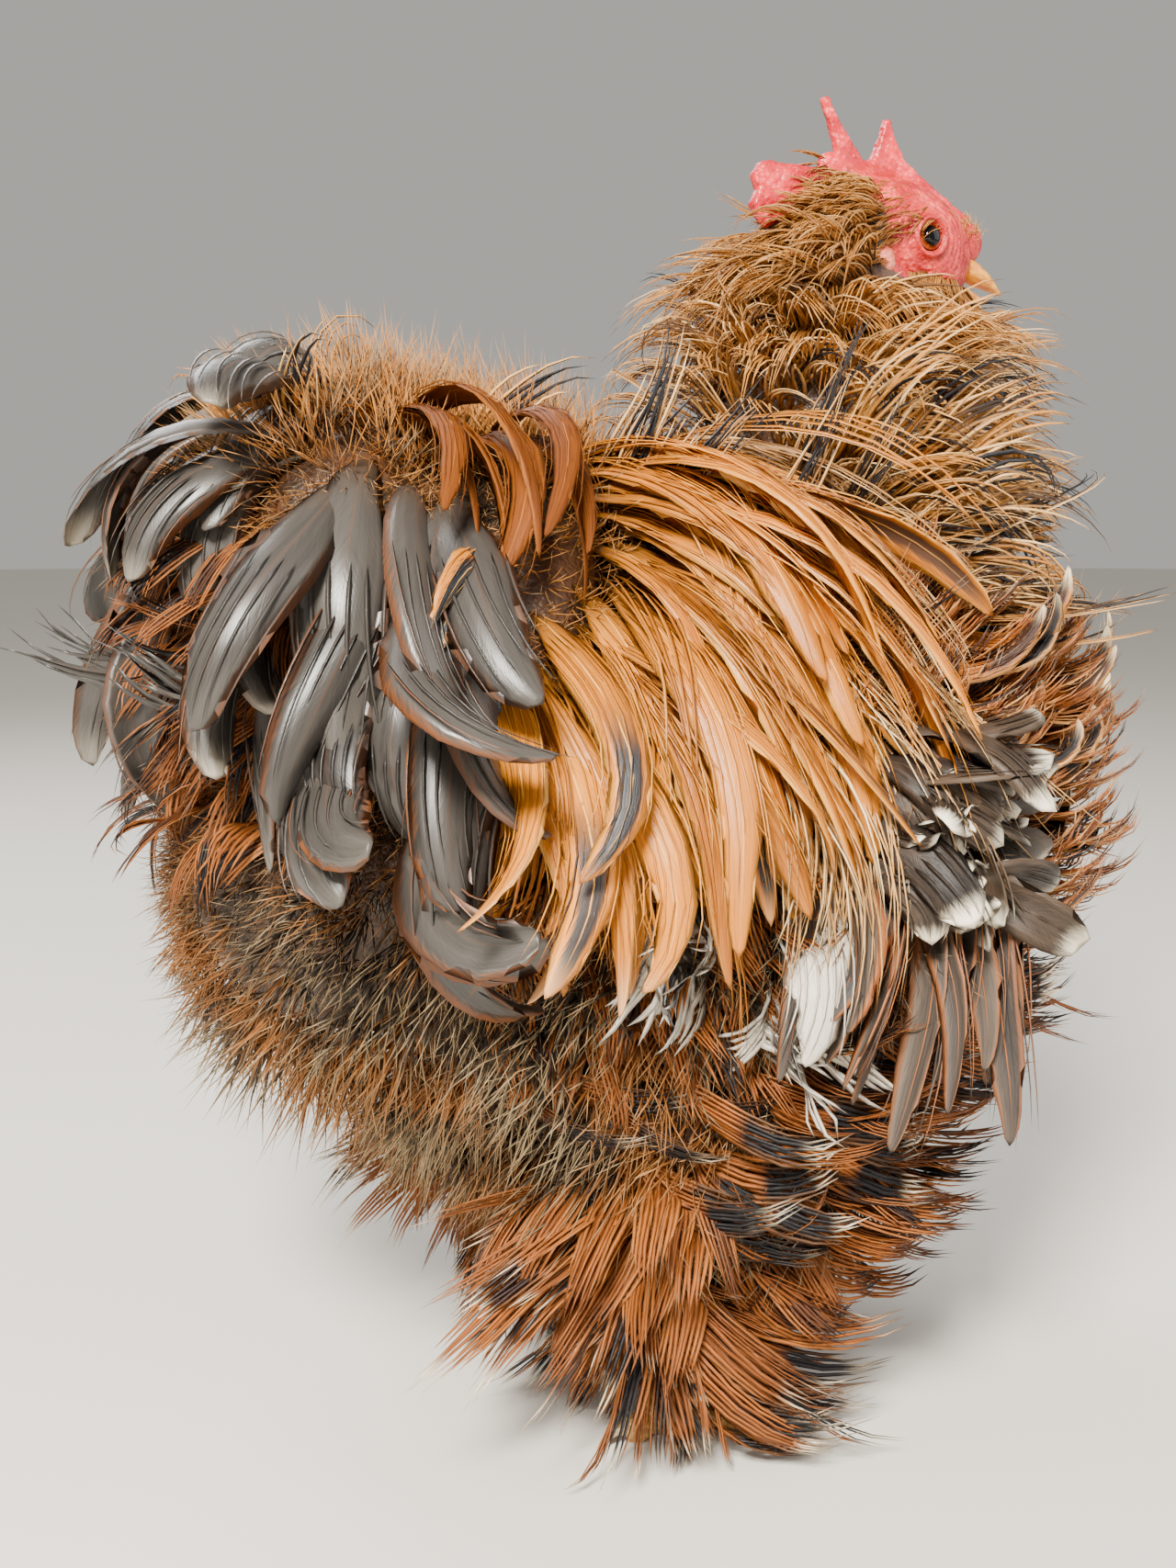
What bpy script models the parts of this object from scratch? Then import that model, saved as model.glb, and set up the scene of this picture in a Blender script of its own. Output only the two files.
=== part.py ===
"""A frizzle chicken, life size, standing with its head up and its feathers curled outwards.

Metres, +Z up, beak towards +X, the bird's left side towards +Y. The model is laid out with its
feet on the floor at Z 0, and is then moved so that the middle of its base is the origin.
"""

import math
import random
from functools import partial
from typing import NamedTuple

import bmesh
import bpy
from mathutils import Matrix, Quaternion, Vector
from mathutils.bvhtree import BVHTree

GAP = 0.0003
SEED = 11
SIDES = {"left": 1, "right": -1}
FORE, LEFT, UP = Vector((1, 0, 0)), Vector((0, 1, 0)), Vector((0, 0, 1))


class Egg(NamedTuple):
    """A rounded body form: its middle, its half sizes, and how far its front dips, in degrees."""

    centre: tuple
    half: tuple
    dip: float = 0.0


# Cores of the plumage, about half way from the skin to the feather tips
TRUNK = Egg((0.008, 0, 0.176), (0.118, 0.098, 0.100), 8)
BREAST = Egg((0.062, 0, 0.196), (0.084, 0.084, 0.090), 10)
CUSHION = Egg((-0.052, 0, 0.238), (0.076, 0.086, 0.066), -8)
RUMP_TOP = Egg((-0.088, 0, 0.272), (0.044, 0.056, 0.040), -20)
VENT = Egg((-0.082, 0, 0.172), (0.058, 0.072, 0.056), 20)
THIGH = Egg((0.020, 0.046, 0.096), (0.060, 0.040, 0.056), 10)
WING = Egg((0.046, 0.101, 0.180), (0.044, 0.013, 0.025), -72)

NECK_BASE, NECK_TOP = Vector((0.070, 0, 0.240)), Vector((0.087, 0, 0.362))
NECK_BASE_R, NECK_TOP_R = 0.068, 0.019

# Head
HEAD = Egg((0.0985, 0, 0.3655), (0.0300, 0.0180, 0.0205), 14)
CHEEK = Egg((0.1090, 0, 0.3580), (0.0170, 0.0165, 0.0130), 20)
BROW_BUMP = Egg((0.1265, 0, 0.3665), (0.0070, 0.0055, 0.0075), 50)
EYE = Egg((0.1070, 0.0130, 0.3680), (0.0058, 0.0058, 0.0058))
EYE_LOOK, LID_OUT = Vector((0.25, 1, 0.08)), 0.0026
LID_R, LID_THICK = 0.0053, 0.0012
EARLOBE = Egg((0.0880, 0.0178, 0.3570), (0.0035, 0.0022, 0.0055))
WATTLE = Egg((0.1160, 0.0085, 0.3420), (0.0055, 0.0020, 0.0085), 8)
BEAK_ROOT, BEAK_TIP = Vector((0.1210, 0, 0.3610)), Vector((0.1425, 0, 0.3515))
BEAK_HALF_WIDTH, BEAK_HALF_HEIGHT, BEAK_HOOK = 0.0066, 0.0050, 0.0032
JAW_ROOT, JAW_TIP = Vector((0.1205, 0, 0.3525)), Vector((0.1370, 0, 0.3475))
JAW_HALF_WIDTH, JAW_HALF_HEIGHT = 0.0056, 0.0026
BEAK_NARROWS, BEAK_TAPER, HOOK_FROM = 0.62, 1.6, 0.7
NOSTRIL = Egg((0.1285, 0.0052, 0.3605), (0.0016, 0.0010, 0.0006), 20)

# Comb: its outline in the middle plane, from the beak over the crown to the nape
COMB_OUTLINE = [
    (0.1300, 0.3650), (0.1315, 0.3690), (0.1265, 0.3750), (0.1205, 0.3785), (0.1120, 0.3840),
    (0.1035, 0.3905), (0.0990, 0.4035), (0.0960, 0.4035), (0.0930, 0.3915), (0.0902, 0.3880),
    (0.0862, 0.3925), (0.0755, 0.4090), (0.0732, 0.4080), (0.0790, 0.3945), (0.0815, 0.3872),
    (0.0695, 0.3868), (0.0535, 0.3878), (0.0503, 0.3840), (0.0520, 0.3800), (0.0500, 0.3755),
    (0.0540, 0.3695), (0.0640, 0.3740), (0.0780, 0.3745), (0.0960, 0.3740), (0.1150, 0.3680),
]
COMB_THICK, COMB_ROUND = 0.0040, 0.0008
COMB_BASE = Egg((0.0980, 0, 0.3820), (0.0270, 0.0036, 0.0070), 18)

# Legs
HOCK, ANKLE = Vector((-0.012, 0.052, 0.074)), Vector((0.0, 0.054, 0.012))
SHANK_R, SHANK_TOP_R = 0.0062, 0.0085
FOOT_PAD = Egg((0.001, 0.054, 0.0065), (0.0125, 0.0100, 0.0085))
TOE_R, TOE_TIP_R, KNUCKLE_R, TOE_Z = 0.0046, 0.0036, 0.0052, 0.0038
CLAW_R, CLAW_TIP_R, CLAW_LENGTH, CLAW_RISE = 0.0025, 0.0006, 0.012, 0.0012
TOES = {"outer": (-32, 0.036), "middle": (-2, 0.046), "inner": (28, 0.034), "hind": (168, 0.020)}

# Where the neck ends and the head begins: a point of the cut, and the neck's direction there
HEAD_CUT = (Vector((0.088, 0, 0.352)), Vector((0.45, 0, 0.89)))

# Feathers: the share of the full width at the root and at the tip, and where the full width lies
VANE_THICK, VANE_TIP_THICK = 0.0011, 0.0006
ROOT_SHARE, TIP_SHARE, WIDE_FROM, WIDE_TO = 0.45, 0.22, 0.40, 0.58
ROOT_DEPTH, LEAST_CURL, WHORL_FLARE = 0.009, 0.15, 0.35
FLOOR_CLEAR = 0.0015

# How far a feather bends off its surface, and its length, until it is clear of other nodes
BENDS = [(0, 1), (0.3, 1), (0.6, 1), (-0.25, 1), (0, 0.75), (0.5, 0.75), (1.0, 0.8), (1.6, 0.7)]


class Lie(NamedTuple):
    """A direction as shares of the surface's outward normal, forwards, upwards and sideways."""

    out: float
    fore: float
    up: float
    side: float = 0.0

    def along(self, normal, hand):
        """The direction where the surface faces this way, on the left (1) or the right (-1)."""
        mixed = normal * self.out + FORE * self.fore + UP * self.up + LEFT * (self.side * hand)
        return mixed.normalized()


class Tract(NamedTuple):
    """Feathers in tiers. Angles are degrees round the tract's centre: 0 is ahead and 90 is left."""

    centre: tuple
    turn: tuple
    climb: tuple
    tiers: int
    across: int
    length: tuple
    width: float
    start: Lie
    finish: Lie
    steps: int = 4


class Whorl(NamedTuple):
    """Feathers that fan out from a parting on each side. Angles are from ahead, positive upwards."""

    centre: tuple
    fan: tuple
    rings: tuple
    across: int
    length: tuple
    width: float
    lift: float
    finish: Lie
    steps: int = 4


class Feather(NamedTuple):
    """One feather: where it grows, and how it curls from its first direction to its last."""

    root: Vector
    normal: Vector
    start: Vector
    finish: Vector
    length: float
    width: float
    twist: float
    steps: int


ALL_ROUND = (-180, 180)
HACKLE = [
    Tract((0.086, 0, 0.358), (118, 242), (0, 0), 1, 5, (0.050, 0.050), 0.017,
          Lie(0.75, -0.3, 0.15), Lie(0.35, -0.35, -0.9), 4),
    Tract((0.085, 0, 0.345), ALL_ROUND, (0, 0), 1, 8, (0.036, 0.036), 0.020,
          Lie(0.8, 0.0, -0.15), Lie(0.35, -0.1, -0.9), 3),
    Tract((0.082, 0, 0.326), ALL_ROUND, (0, 0), 1, 10, (0.046, 0.046), 0.022,
          Lie(0.85, 0.0, 0.2), Lie(0.35, -0.05, -1.0), 3),
    Tract((0.079, 0, 0.305), ALL_ROUND, (0, 0), 1, 11, (0.050, 0.050), 0.024,
          Lie(0.85, 0.0, 0.35), Lie(0.4, 0.1, -1.0), 3),
    Tract((0.076, 0, 0.284), (-122, 122), (0, 0), 1, 9, (0.048, 0.048), 0.026,
          Lie(0.85, 0.05, 0.35), Lie(0.5, 0.3, -0.8), 3),
    Tract((0.073, 0, 0.262), (-96, 96), (0, 0), 1, 7, (0.044, 0.044), 0.028,
          Lie(0.75, -0.1, -0.4), Lie(0.5, 0.4, 0.7), 3),
]
BREAST_TRACTS = [
    Tract((0.056, 0, 0.196), (-66, 66), (32, -30), 4, 6, (0.040, 0.044), 0.029,
          Lie(0.75, -0.1, -0.5), Lie(0.5, 0.45, 0.75), 3),
    Tract((0.030, 0, 0.160), (-66, 66), (-36, -52), 2, 4, (0.040, 0.034), 0.030,
          Lie(0.8, 0.1, -0.35), Lie(0.4, 0.85, 0.25), 3),
    Tract((-0.070, 0, 0.180), (118, 242), (0, -42), 3, 4, (0.030, 0.030), 0.030,
          Lie(0.6, -0.1, -0.35), Lie(0.2, -0.05, -0.9), 3),
]
SHOULDER = Tract((0.040, 0.020, 0.200), (72, 100), (40, 24), 2, 2, (0.046, 0.044), 0.028,
                 Lie(0.7, -0.1, -0.5), Lie(0.45, 0.4, 0.75), 3)
FLANK = Tract((-0.010, 0.020, 0.170), (82, 136), (-8, -34), 2, 4, (0.034, 0.034), 0.028,
              Lie(0.8, 0.0, -0.2), Lie(0.45, 0.1, -0.9), 3)
SADDLE_TRACTS = [
    Tract((-0.052, 0, 0.238), (60, 300), (66, 50), 2, 5, (0.034, 0.038), 0.024,
          Lie(0.7, -0.2, 0.2, 0.1), Lie(0.35, -0.5, -0.4, 0.4), 3),
]
SADDLE_WHORLS = [
    Whorl((-0.044, 0.068, 0.274), (46, -136), (0.018, 0.040), 7, (0.092, 0.094), 0.021,
          0.40, Lie(0.1, 0.2, -1.0), 3),
]
TAIL_TRACTS = [
    Tract((-0.080, 0, 0.268), (98, 262), (52, 14), 3, 5, (0.058, 0.066), 0.025,
          Lie(0.5, -0.2, 0.12, 0.15), Lie(0.0, -0.05, -1.0), 4),
]
REAR_DRAPE = Tract((-0.060, 0, 0.238), (106, 156), (22, 2), 2, 3, (0.080, 0.074), 0.026,
                   Lie(0.48, -0.1, -0.4), Lie(0.1, -0.05, -1.0), 3)
THIGH_TRACTS = [
    Tract((0.020, 0.046, 0.100), (-50, 116), (-8, -52), 3, 3, (0.038, 0.032), 0.030,
          Lie(0.8, 0.05, -0.35), Lie(0.4, 0.6, -0.4), 3),
    Tract((0.020, 0.046, 0.100), (140, 200), (-20, -44), 2, 2, (0.056, 0.050), 0.026,
          Lie(0.8, -0.2, -0.1), Lie(0.35, -0.3, -0.8), 3),
]
WING_COVERTS = [
    Tract((0.046, 0.085, 0.184), (66, 110), (30, 8), 2, 2, (0.030, 0.034), 0.025,
          Lie(0.55, 0.1, -0.5), Lie(0.4, 0.45, -0.3), 3),
]
FLIGHTS = Tract((0.046, 0.085, 0.184), (60, 132), (-12, -12), 1, 5, (0.060, 0.054), 0.018,
                Lie(0.5, -0.1, -0.9), Lie(0.3, 0.1, -1.0), 3)
SHANK_RINGS = [(0.058, 4, 0.036), (0.036, 4, 0.032)]
SHANK_WIDTH, SHANK_START, SHANK_FINISH = 0.022, Lie(0.9, 0.0, -0.1), Lie(0.5, 0.35, -0.6)


def clear_scene():
    """Removes what the scene holds."""
    for existing in list(bpy.data.objects):
        bpy.data.objects.remove(existing, do_unlink=True)


def finish_of(name, colour, roughness):
    """A plain material with the part's colour and roughness."""
    made = bpy.data.materials.new(name)
    made.use_nodes = True
    shader = made.node_tree.nodes["Principled BSDF"]
    shader.inputs["Base Color"].default_value = (*colour, 1)
    shader.inputs["Roughness"].default_value = roughness
    shader.inputs["Metallic"].default_value = 0.0
    return made


def mirrored(point, side):
    """The point on the bird's left (side 1) or its right (side -1)."""
    return Vector((point[0], point[1] * side, point[2]))


def mesh_object(name, form):
    """A new object, in no collection yet, that holds the bmesh's shape."""
    mesh = bpy.data.meshes.new(name)
    form.to_mesh(mesh)
    form.free()
    return bpy.data.objects.new(name, mesh)


def egg_form(egg, side=1, segments=20, rings=12, grow=0.0):
    """The egg, with its poles at its front and back."""
    form = bmesh.new()
    bmesh.ops.create_uvsphere(form, u_segments=segments, v_segments=rings, radius=1)
    lying = Matrix.Rotation(math.radians(90), 4, "Y")
    size = Matrix.Diagonal((*(half + grow for half in egg.half), 1))
    dip = Matrix.Rotation(math.radians(egg.dip), 4, "Y")
    place = Matrix.Translation(mirrored(egg.centre, side))
    bmesh.ops.transform(form, matrix=place @ dip @ size @ lying, verts=form.verts)
    return form


def cone_form(base, tip, base_r, tip_r, segments=24, grow=0.0):
    """A truncated cone from one point to another."""
    form = bmesh.new()
    run = tip - base
    bmesh.ops.create_cone(
        form, cap_ends=True, segments=segments, depth=run.length,
        radius1=base_r + grow, radius2=tip_r + grow,
    )
    turn = run.to_track_quat("Z", "Y").to_matrix().to_4x4()
    middle = Matrix.Translation((base + tip) / 2)
    bmesh.ops.transform(form, matrix=middle @ turn, verts=form.verts)
    return form


def tube_form(points, radii, sides=8, grow=0.0):
    """A closed tube through the points, with its own radius at each."""
    form = bmesh.new()
    rings = []
    for index, point in enumerate(points):
        before, after = points[max(index - 1, 0)], points[min(index + 1, len(points) - 1)]
        turn = (after - before).to_track_quat("Z", "Y").to_matrix()
        around = [2 * math.pi * (step + 0.5) / sides for step in range(sides)]
        reach = radii[index] + grow
        rings.append([
            form.verts.new(point + turn @ Vector((math.cos(a), math.sin(a), 0)) * reach)
            for a in around
        ])
    for lower, upper in zip(rings, rings[1:]):
        for step in range(sides):
            after = (step + 1) % sides
            form.faces.new((lower[step], lower[after], upper[after], upper[step]))
    form.faces.new(list(reversed(rings[0])))
    form.faces.new(rings[-1])
    return form


def beak_form(root, tip, half_width, half_height, hook, grow=0.0):
    """Half of the beak: a tapered form that bends down to a point."""
    form = bmesh.new()
    bmesh.ops.create_uvsphere(form, u_segments=12, v_segments=8, radius=1)
    bmesh.ops.transform(form, matrix=Matrix.Rotation(math.radians(90), 4, "Y"), verts=form.verts)
    run = tip - root
    for vert in form.verts:
        along = (vert.co.x + 1) / 2
        narrow = 1 - BEAK_NARROWS * along**BEAK_TAPER
        ridge = root + run * along + UP * hook * (along - along**2)
        vert.co = ridge + Vector((
            grow * vert.co.x,
            vert.co.y * (half_width * narrow + grow),
            vert.co.z * (half_height * narrow + grow) - hook * max(along - HOOK_FROM, 0),
        ))
    return form


def lid_form(side, around=10, sides=4, grow=0.0):
    """The ring of the eyelids, set square to the eye's way of looking."""
    form = bmesh.new()
    look = mirrored(EYE_LOOK, side).normalized()
    turn = look.to_track_quat("Z", "Y").to_matrix()
    middle = mirrored(EYE.centre, side) + look * LID_OUT
    rings = []
    for step in range(around):
        a = 2 * math.pi * step / around
        spoke = turn @ Vector((math.cos(a), math.sin(a), 0))
        angles = [2 * math.pi * corner / sides for corner in range(sides)]
        rings.append([
            form.verts.new(
                middle + spoke * (LID_R + math.cos(b) * (LID_THICK + grow))
                + look * math.sin(b) * (LID_THICK + grow)
            )
            for b in angles
        ])
    for step in range(around):
        this, after = rings[step], rings[(step + 1) % around]
        for b in range(sides):
            c = (b + 1) % sides
            form.faces.new((this[b], after[b], after[c], this[c]))
    bmesh.ops.recalc_face_normals(form, faces=form.faces)
    return form


def comb_form(grow=0.0):
    """The upright blade of the comb: a flat outline with rounded edges."""
    curve = bpy.data.curves.new("comb_outline", "CURVE")
    curve.dimensions = "2D"
    curve.fill_mode = "BOTH"
    curve.extrude = COMB_THICK / 2 - COMB_ROUND + grow
    curve.bevel_depth = COMB_ROUND
    curve.bevel_resolution = 0
    curve.offset = grow
    spline = curve.splines.new("POLY")
    spline.points.add(len(COMB_OUTLINE) - 1)
    spline.use_cyclic_u = True
    for spot, (x, z) in zip(spline.points, COMB_OUTLINE):
        spot.co = (x, z, 0, 1)
    guide = bpy.data.objects.new("comb_outline", curve)
    bpy.context.scene.collection.objects.link(guide)
    graph = bpy.context.evaluated_depsgraph_get()
    flat = bpy.data.meshes.new_from_object(guide.evaluated_get(graph))
    form = bmesh.new()
    form.from_mesh(flat)
    bpy.data.objects.remove(guide, do_unlink=True)
    bmesh.ops.remove_doubles(form, verts=form.verts, dist=0.00002)
    upright = Matrix.Rotation(math.radians(90), 3, "X")
    bmesh.ops.rotate(form, cent=(0, 0, 0), matrix=upright, verts=form.verts)
    bmesh.ops.recalc_face_normals(form, faces=form.faces)
    return form


def slab_form(point, normal, sign):
    """A block that fills one side of a plane and reaches half a gap past it."""
    form = bmesh.new()
    bmesh.ops.create_cube(form, size=1)
    turn = normal.to_track_quat("Z", "Y").to_matrix().to_4x4()
    place = Matrix.Translation(point + normal.normalized() * sign * (0.5 - GAP / 2))
    bmesh.ops.transform(form, matrix=place @ turn, verts=form.verts)
    return form


def feather_form(feather, grow=0.0):
    """The feather as a thin closed strip, narrow at its root and thinnest at its tip."""
    form = bmesh.new()
    curl = feather.start.cross(feather.finish)
    if curl.length < LEAST_CURL:
        curl = feather.start.cross(feather.normal)
    point = feather.root - feather.start * ROOT_DEPTH
    stride = (feather.length + ROOT_DEPTH) / feather.steps
    rows = []
    for step in range(feather.steps + 1):
        share = step / feather.steps
        heading = feather.start.lerp(feather.finish, share).normalized()
        across = Quaternion(heading, feather.twist * share) @ curl.normalized()
        through = heading.cross(across)
        opening = ROOT_SHARE + (1 - ROOT_SHARE) * min(share / WIDE_FROM, 1)
        closing = 1 - (1 - TIP_SHARE) * max(share - WIDE_TO, 0) / (1 - WIDE_TO)
        half = 0.5 * feather.width * opening * closing + grow
        deep = 0.5 * (VANE_THICK + (VANE_TIP_THICK - VANE_THICK) * share) + grow
        spot = point + heading * grow * (2 * share - 1)
        if step < feather.steps:
            rows.append([
                form.verts.new(spot + across * (half * a) + through * (deep * b))
                for a, b in ((-1, -1), (1, -1), (1, 1), (-1, 1))
            ])
        point = point + heading * stride
    for lower, upper in zip(rows, rows[1:]):
        # Both broad faces are split along the same diagonal, so they never cross
        for a, b, shared in ((0, 1, 1), (1, 2, 2), (2, 3, 2), (3, 0, 3)):
            other = b if shared == a else a
            form.faces.new((lower[a], lower[b], upper[shared]))
            form.faces.new((lower[other], upper[b], upper[a]))
    left, right = (form.verts.new(spot + across * (half * a)) for a in (-1, 1))
    form.faces.new((rows[-1][0], rows[-1][1], right))
    form.faces.new((rows[-1][0], right, left))
    form.faces.new((rows[-1][2], rows[-1][3], right))
    form.faces.new((rows[-1][3], left, right))
    form.faces.new((rows[-1][1], rows[-1][2], right))
    form.faces.new((rows[-1][3], rows[-1][0], left))
    form.faces.new((rows[0][2], rows[0][1], rows[0][0]))
    form.faces.new((rows[0][3], rows[0][2], rows[0][0]))
    return form


def surface_of(forms):
    """A search tree over several forms."""
    corners, faces = [], []
    for form in forms:
        first = len(corners)
        form.verts.index_update()
        corners += [vert.co.copy() for vert in form.verts]
        faces += [[first + vert.index for vert in face.verts] for face in form.faces]
        form.free()
    return BVHTree.FromPolygons(corners, faces)


def outward(turn, climb):
    """The direction at these angles, in degrees: turn 0 is ahead and 90 is left."""
    turn, climb = math.radians(turn), math.radians(climb)
    return Vector((
        math.cos(climb) * math.cos(turn), math.cos(climb) * math.sin(turn), math.sin(climb)
    ))


def site(surface, centre, direction):
    """Where a ray to the centre meets the surface from outside, and the surface's normal there."""
    found, normal, _, _ = surface.ray_cast(centre + direction * 0.5, -direction)
    return found, normal if normal.dot(direction) > 0 else -normal


def tract_feathers(tract, surface, chance, side=0):
    """The feathers of one tract, tier by tier, each tier shifted by half a feather."""
    made = []
    centre = mirrored(tract.centre, side or 1)
    spaces = tract.across if tract.turn == ALL_ROUND else tract.across - 0.5
    for tier in range(tract.tiers):
        down = tier / max(tract.tiers - 1, 1)
        climb = tract.climb[0] + (tract.climb[1] - tract.climb[0]) * down
        length = tract.length[0] + (tract.length[1] - tract.length[0]) * down
        for place in range(tract.across):
            step = (place + 0.5 * (tier % 2)) / spaces
            turn = tract.turn[0] + (tract.turn[1] - tract.turn[0]) * step + chance.uniform(-2, 2)
            way = outward(turn * (side or 1), climb + chance.uniform(-2, 2))
            root, normal = site(surface, centre, way)
            hand = side or (1 if root.y >= 0 else -1)
            lean = Vector([chance.uniform(-0.12, 0.12) for _ in range(3)])
            made.append(Feather(
                root, normal, tract.start.along(normal, hand),
                (tract.finish.along(normal, hand) + lean).normalized(),
                length * chance.uniform(0.88, 1.06), tract.width * chance.uniform(0.9, 1.1),
                chance.uniform(-0.4, 0.4), tract.steps,
            ))
    return made


def whorl_feathers(whorl, surface, chance, side):
    """The feathers that fan out round one parting."""
    made = []
    parting = mirrored(whorl.centre, side)
    _, level, _, _ = surface.find_nearest(parting)
    ahead = (FORE - level * FORE.dot(level)).normalized()
    above = (UP - level * UP.dot(level)).normalized()
    for ring, reach in enumerate(whorl.rings):
        for place in range(whorl.across):
            share = (place + 0.5 * (ring % 2)) / (whorl.across - 0.5)
            angle = whorl.fan[0] + (whorl.fan[1] - whorl.fan[0]) * share
            angle = math.radians(angle + chance.uniform(-3, 3))
            spread = ahead * math.cos(angle) + above * math.sin(angle)
            root, normal, _, _ = surface.find_nearest(parting + spread * reach)
            start = (spread + normal * whorl.lift).normalized()
            finish = (whorl.finish.along(normal, side) + spread * WHORL_FLARE).normalized()
            made.append(Feather(
                root, normal, start, finish, whorl.length[ring] * chance.uniform(0.9, 1.1),
                whorl.width, chance.uniform(-0.4, 0.4), whorl.steps,
            ))
    return made


def ring_feathers(base, tip, rings, chance, side):
    """Rings of feathers round the shank."""
    made = []
    for ring, (height, across, length) in enumerate(rings):
        along = (height - base.z) / (tip.z - base.z)
        middle = base.lerp(tip, along)
        for place in range(across):
            turn = 360 * (place + 0.5 * ring) / across + chance.uniform(-8, 8)
            normal = outward(turn, 0)
            made.append(Feather(
                middle + normal * SHANK_R, normal, SHANK_START.along(normal, side),
                SHANK_FINISH.along(normal, side), length * chance.uniform(0.9, 1.1),
                SHANK_WIDTH, chance.uniform(-0.3, 0.3), 3,
            ))
    return made


def settled(feathers, others):
    """The feathers, each bent or shortened until it is clear of the others, or else left out."""
    kept = []
    for feather in feathers:
        for bend, share in BENDS:
            tried = feather._replace(
                finish=(feather.finish + feather.normal * bend).normalized(),
                length=feather.length * share,
            )
            form = feather_form(tried, GAP)
            lowest = min(vert.co.z for vert in form.verts)
            if lowest > FLOOR_CLEAR and not any(map(surface_of([form]).overlap, others)):
                kept.append(tried)
                break
    return kept


def outlying(pieces, core):
    """Search trees over the pieces of other nodes, each cut clear of this node's core."""
    trees = []
    for piece in pieces:
        rest = combined("outlying", [piece], grown(core))
        form = bmesh.new()
        form.from_mesh(rest.data)
        bpy.data.objects.remove(rest, do_unlink=True)
        trees.append(surface_of([form]))
    return trees


def buried(point, core):
    """Whether the point lies inside a rounded form."""
    found, normal, _, _ = core.ray_cast(point, UP)
    return found is not None and normal.dot(UP) > 0


def combined(name, pieces, cutters=(), solver="EXACT"):
    """An object of the pieces joined, then cut clear of the forms that they meet."""
    scene = bpy.context.scene.collection
    node = mesh_object(name, pieces[0]())
    scene.objects.link(node)
    steps = (("UNION", [piece() for piece in pieces[1:]]), ("DIFFERENCE", list(cutters)))
    for operation, forms in steps:
        if not forms:
            continue
        group = bpy.data.collections.new(operation)
        scene.children.link(group)
        for index, form in enumerate(forms):
            group.objects.link(mesh_object(f"{name}_{operation}_{index}", form))
        modifier = node.modifiers.new(operation, "BOOLEAN")
        modifier.operation = operation
        modifier.operand_type = "COLLECTION"
        modifier.collection = group
        modifier.solver = solver
        bpy.context.view_layer.update()
        evaluated = node.evaluated_get(bpy.context.evaluated_depsgraph_get())
        joined = bpy.data.meshes.new_from_object(evaluated)
        node.modifiers.clear()
        node.data = joined
        for piece in list(group.objects):
            bpy.data.objects.remove(piece, do_unlink=True)
        bpy.data.collections.remove(group)
    return node


def solid(name, pieces, material, cutters=(), solver="EXACT"):
    """One node, as its largest closed surface."""
    node = combined(name, pieces, cutters, solver)
    keep_largest(node.data)
    node.data.materials.clear()
    node.data.materials.append(material)
    node.data.name = name


def keep_largest(mesh):
    """Drops every closed surface of the mesh but the one with the largest volume."""
    form = bmesh.new()
    form.from_mesh(mesh)
    bmesh.ops.triangulate(form, faces=form.faces)
    waiting, shells = set(form.faces), []
    while waiting:
        first = waiting.pop()
        shell, edge = [first], [first]
        while edge:
            for link in edge.pop().edges:
                for face in link.link_faces:
                    if face in waiting:
                        waiting.discard(face)
                        shell.append(face)
                        edge.append(face)
        shells.append(shell)

    def volume(shell):
        return abs(sum(
            face.verts[0].co.dot(face.verts[1].co.cross(face.verts[2].co)) for face in shell
        ))

    largest = max(shells, key=volume)
    dropped = [face for shell in shells if shell is not largest for face in shell]
    bmesh.ops.delete(form, geom=dropped, context="FACES")
    loose = [vert for vert in form.verts if not vert.link_faces]
    bmesh.ops.delete(form, geom=loose, context="VERTS")
    form.to_mesh(mesh)
    form.free()


def grown(pieces):
    """The pieces of one node made larger by the gap, to cut another node clear of it."""
    return [piece(grow=GAP) for piece in pieces]


def vanes(feathers):
    """The feathers as pieces of a node."""
    return [partial(feather_form, feather) for feather in feathers]


def build_head(finishes):
    """Eyes, beak, comb, wattles and earlobes, and the head that they are set in."""
    upper = partial(beak_form, BEAK_ROOT, BEAK_TIP, BEAK_HALF_WIDTH, BEAK_HALF_HEIGHT, BEAK_HOOK)
    lower = partial(beak_form, JAW_ROOT, JAW_TIP, JAW_HALF_WIDTH, JAW_HALF_HEIGHT, 0.0)
    comb = [comb_form, partial(egg_form, COMB_BASE, segments=10, rings=8)]
    nostrils = [egg_form(NOSTRIL, side, segments=8, rings=6) for side in SIDES.values()]
    solid("beak_upper", [upper], finishes["beak"], nostrils)
    solid("beak_lower", [lower], finishes["beak"], grown([upper]))
    solid("comb", comb, finishes["comb"], grown([upper]))
    fittings = [upper, lower, *comb]
    for hand, side in SIDES.items():
        eye = partial(egg_form, EYE, side, segments=12, rings=8)
        lobe = partial(egg_form, EARLOBE, side, segments=8, rings=6)
        wattle = partial(egg_form, WATTLE, side, segments=8, rings=6)
        solid(f"eye_{hand}", [eye], finishes["eye"])
        solid(f"earlobe_{hand}", [lobe], finishes["comb"])
        solid(f"wattle_{hand}", [wattle], finishes["comb"], grown([lower]))
        fittings += [eye, lobe, wattle]
    head = [
        partial(egg_form, HEAD, segments=18, rings=11),
        partial(egg_form, CHEEK, segments=12, rings=8),
        partial(egg_form, BROW_BUMP, segments=8, rings=6),
        partial(lid_form, 1),
        partial(lid_form, -1),
    ]
    cuts = [*grown(fittings), slab_form(*HEAD_CUT, -1)]
    solid("head", head, finishes["face"], cuts)
    return [*fittings, *head]


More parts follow.
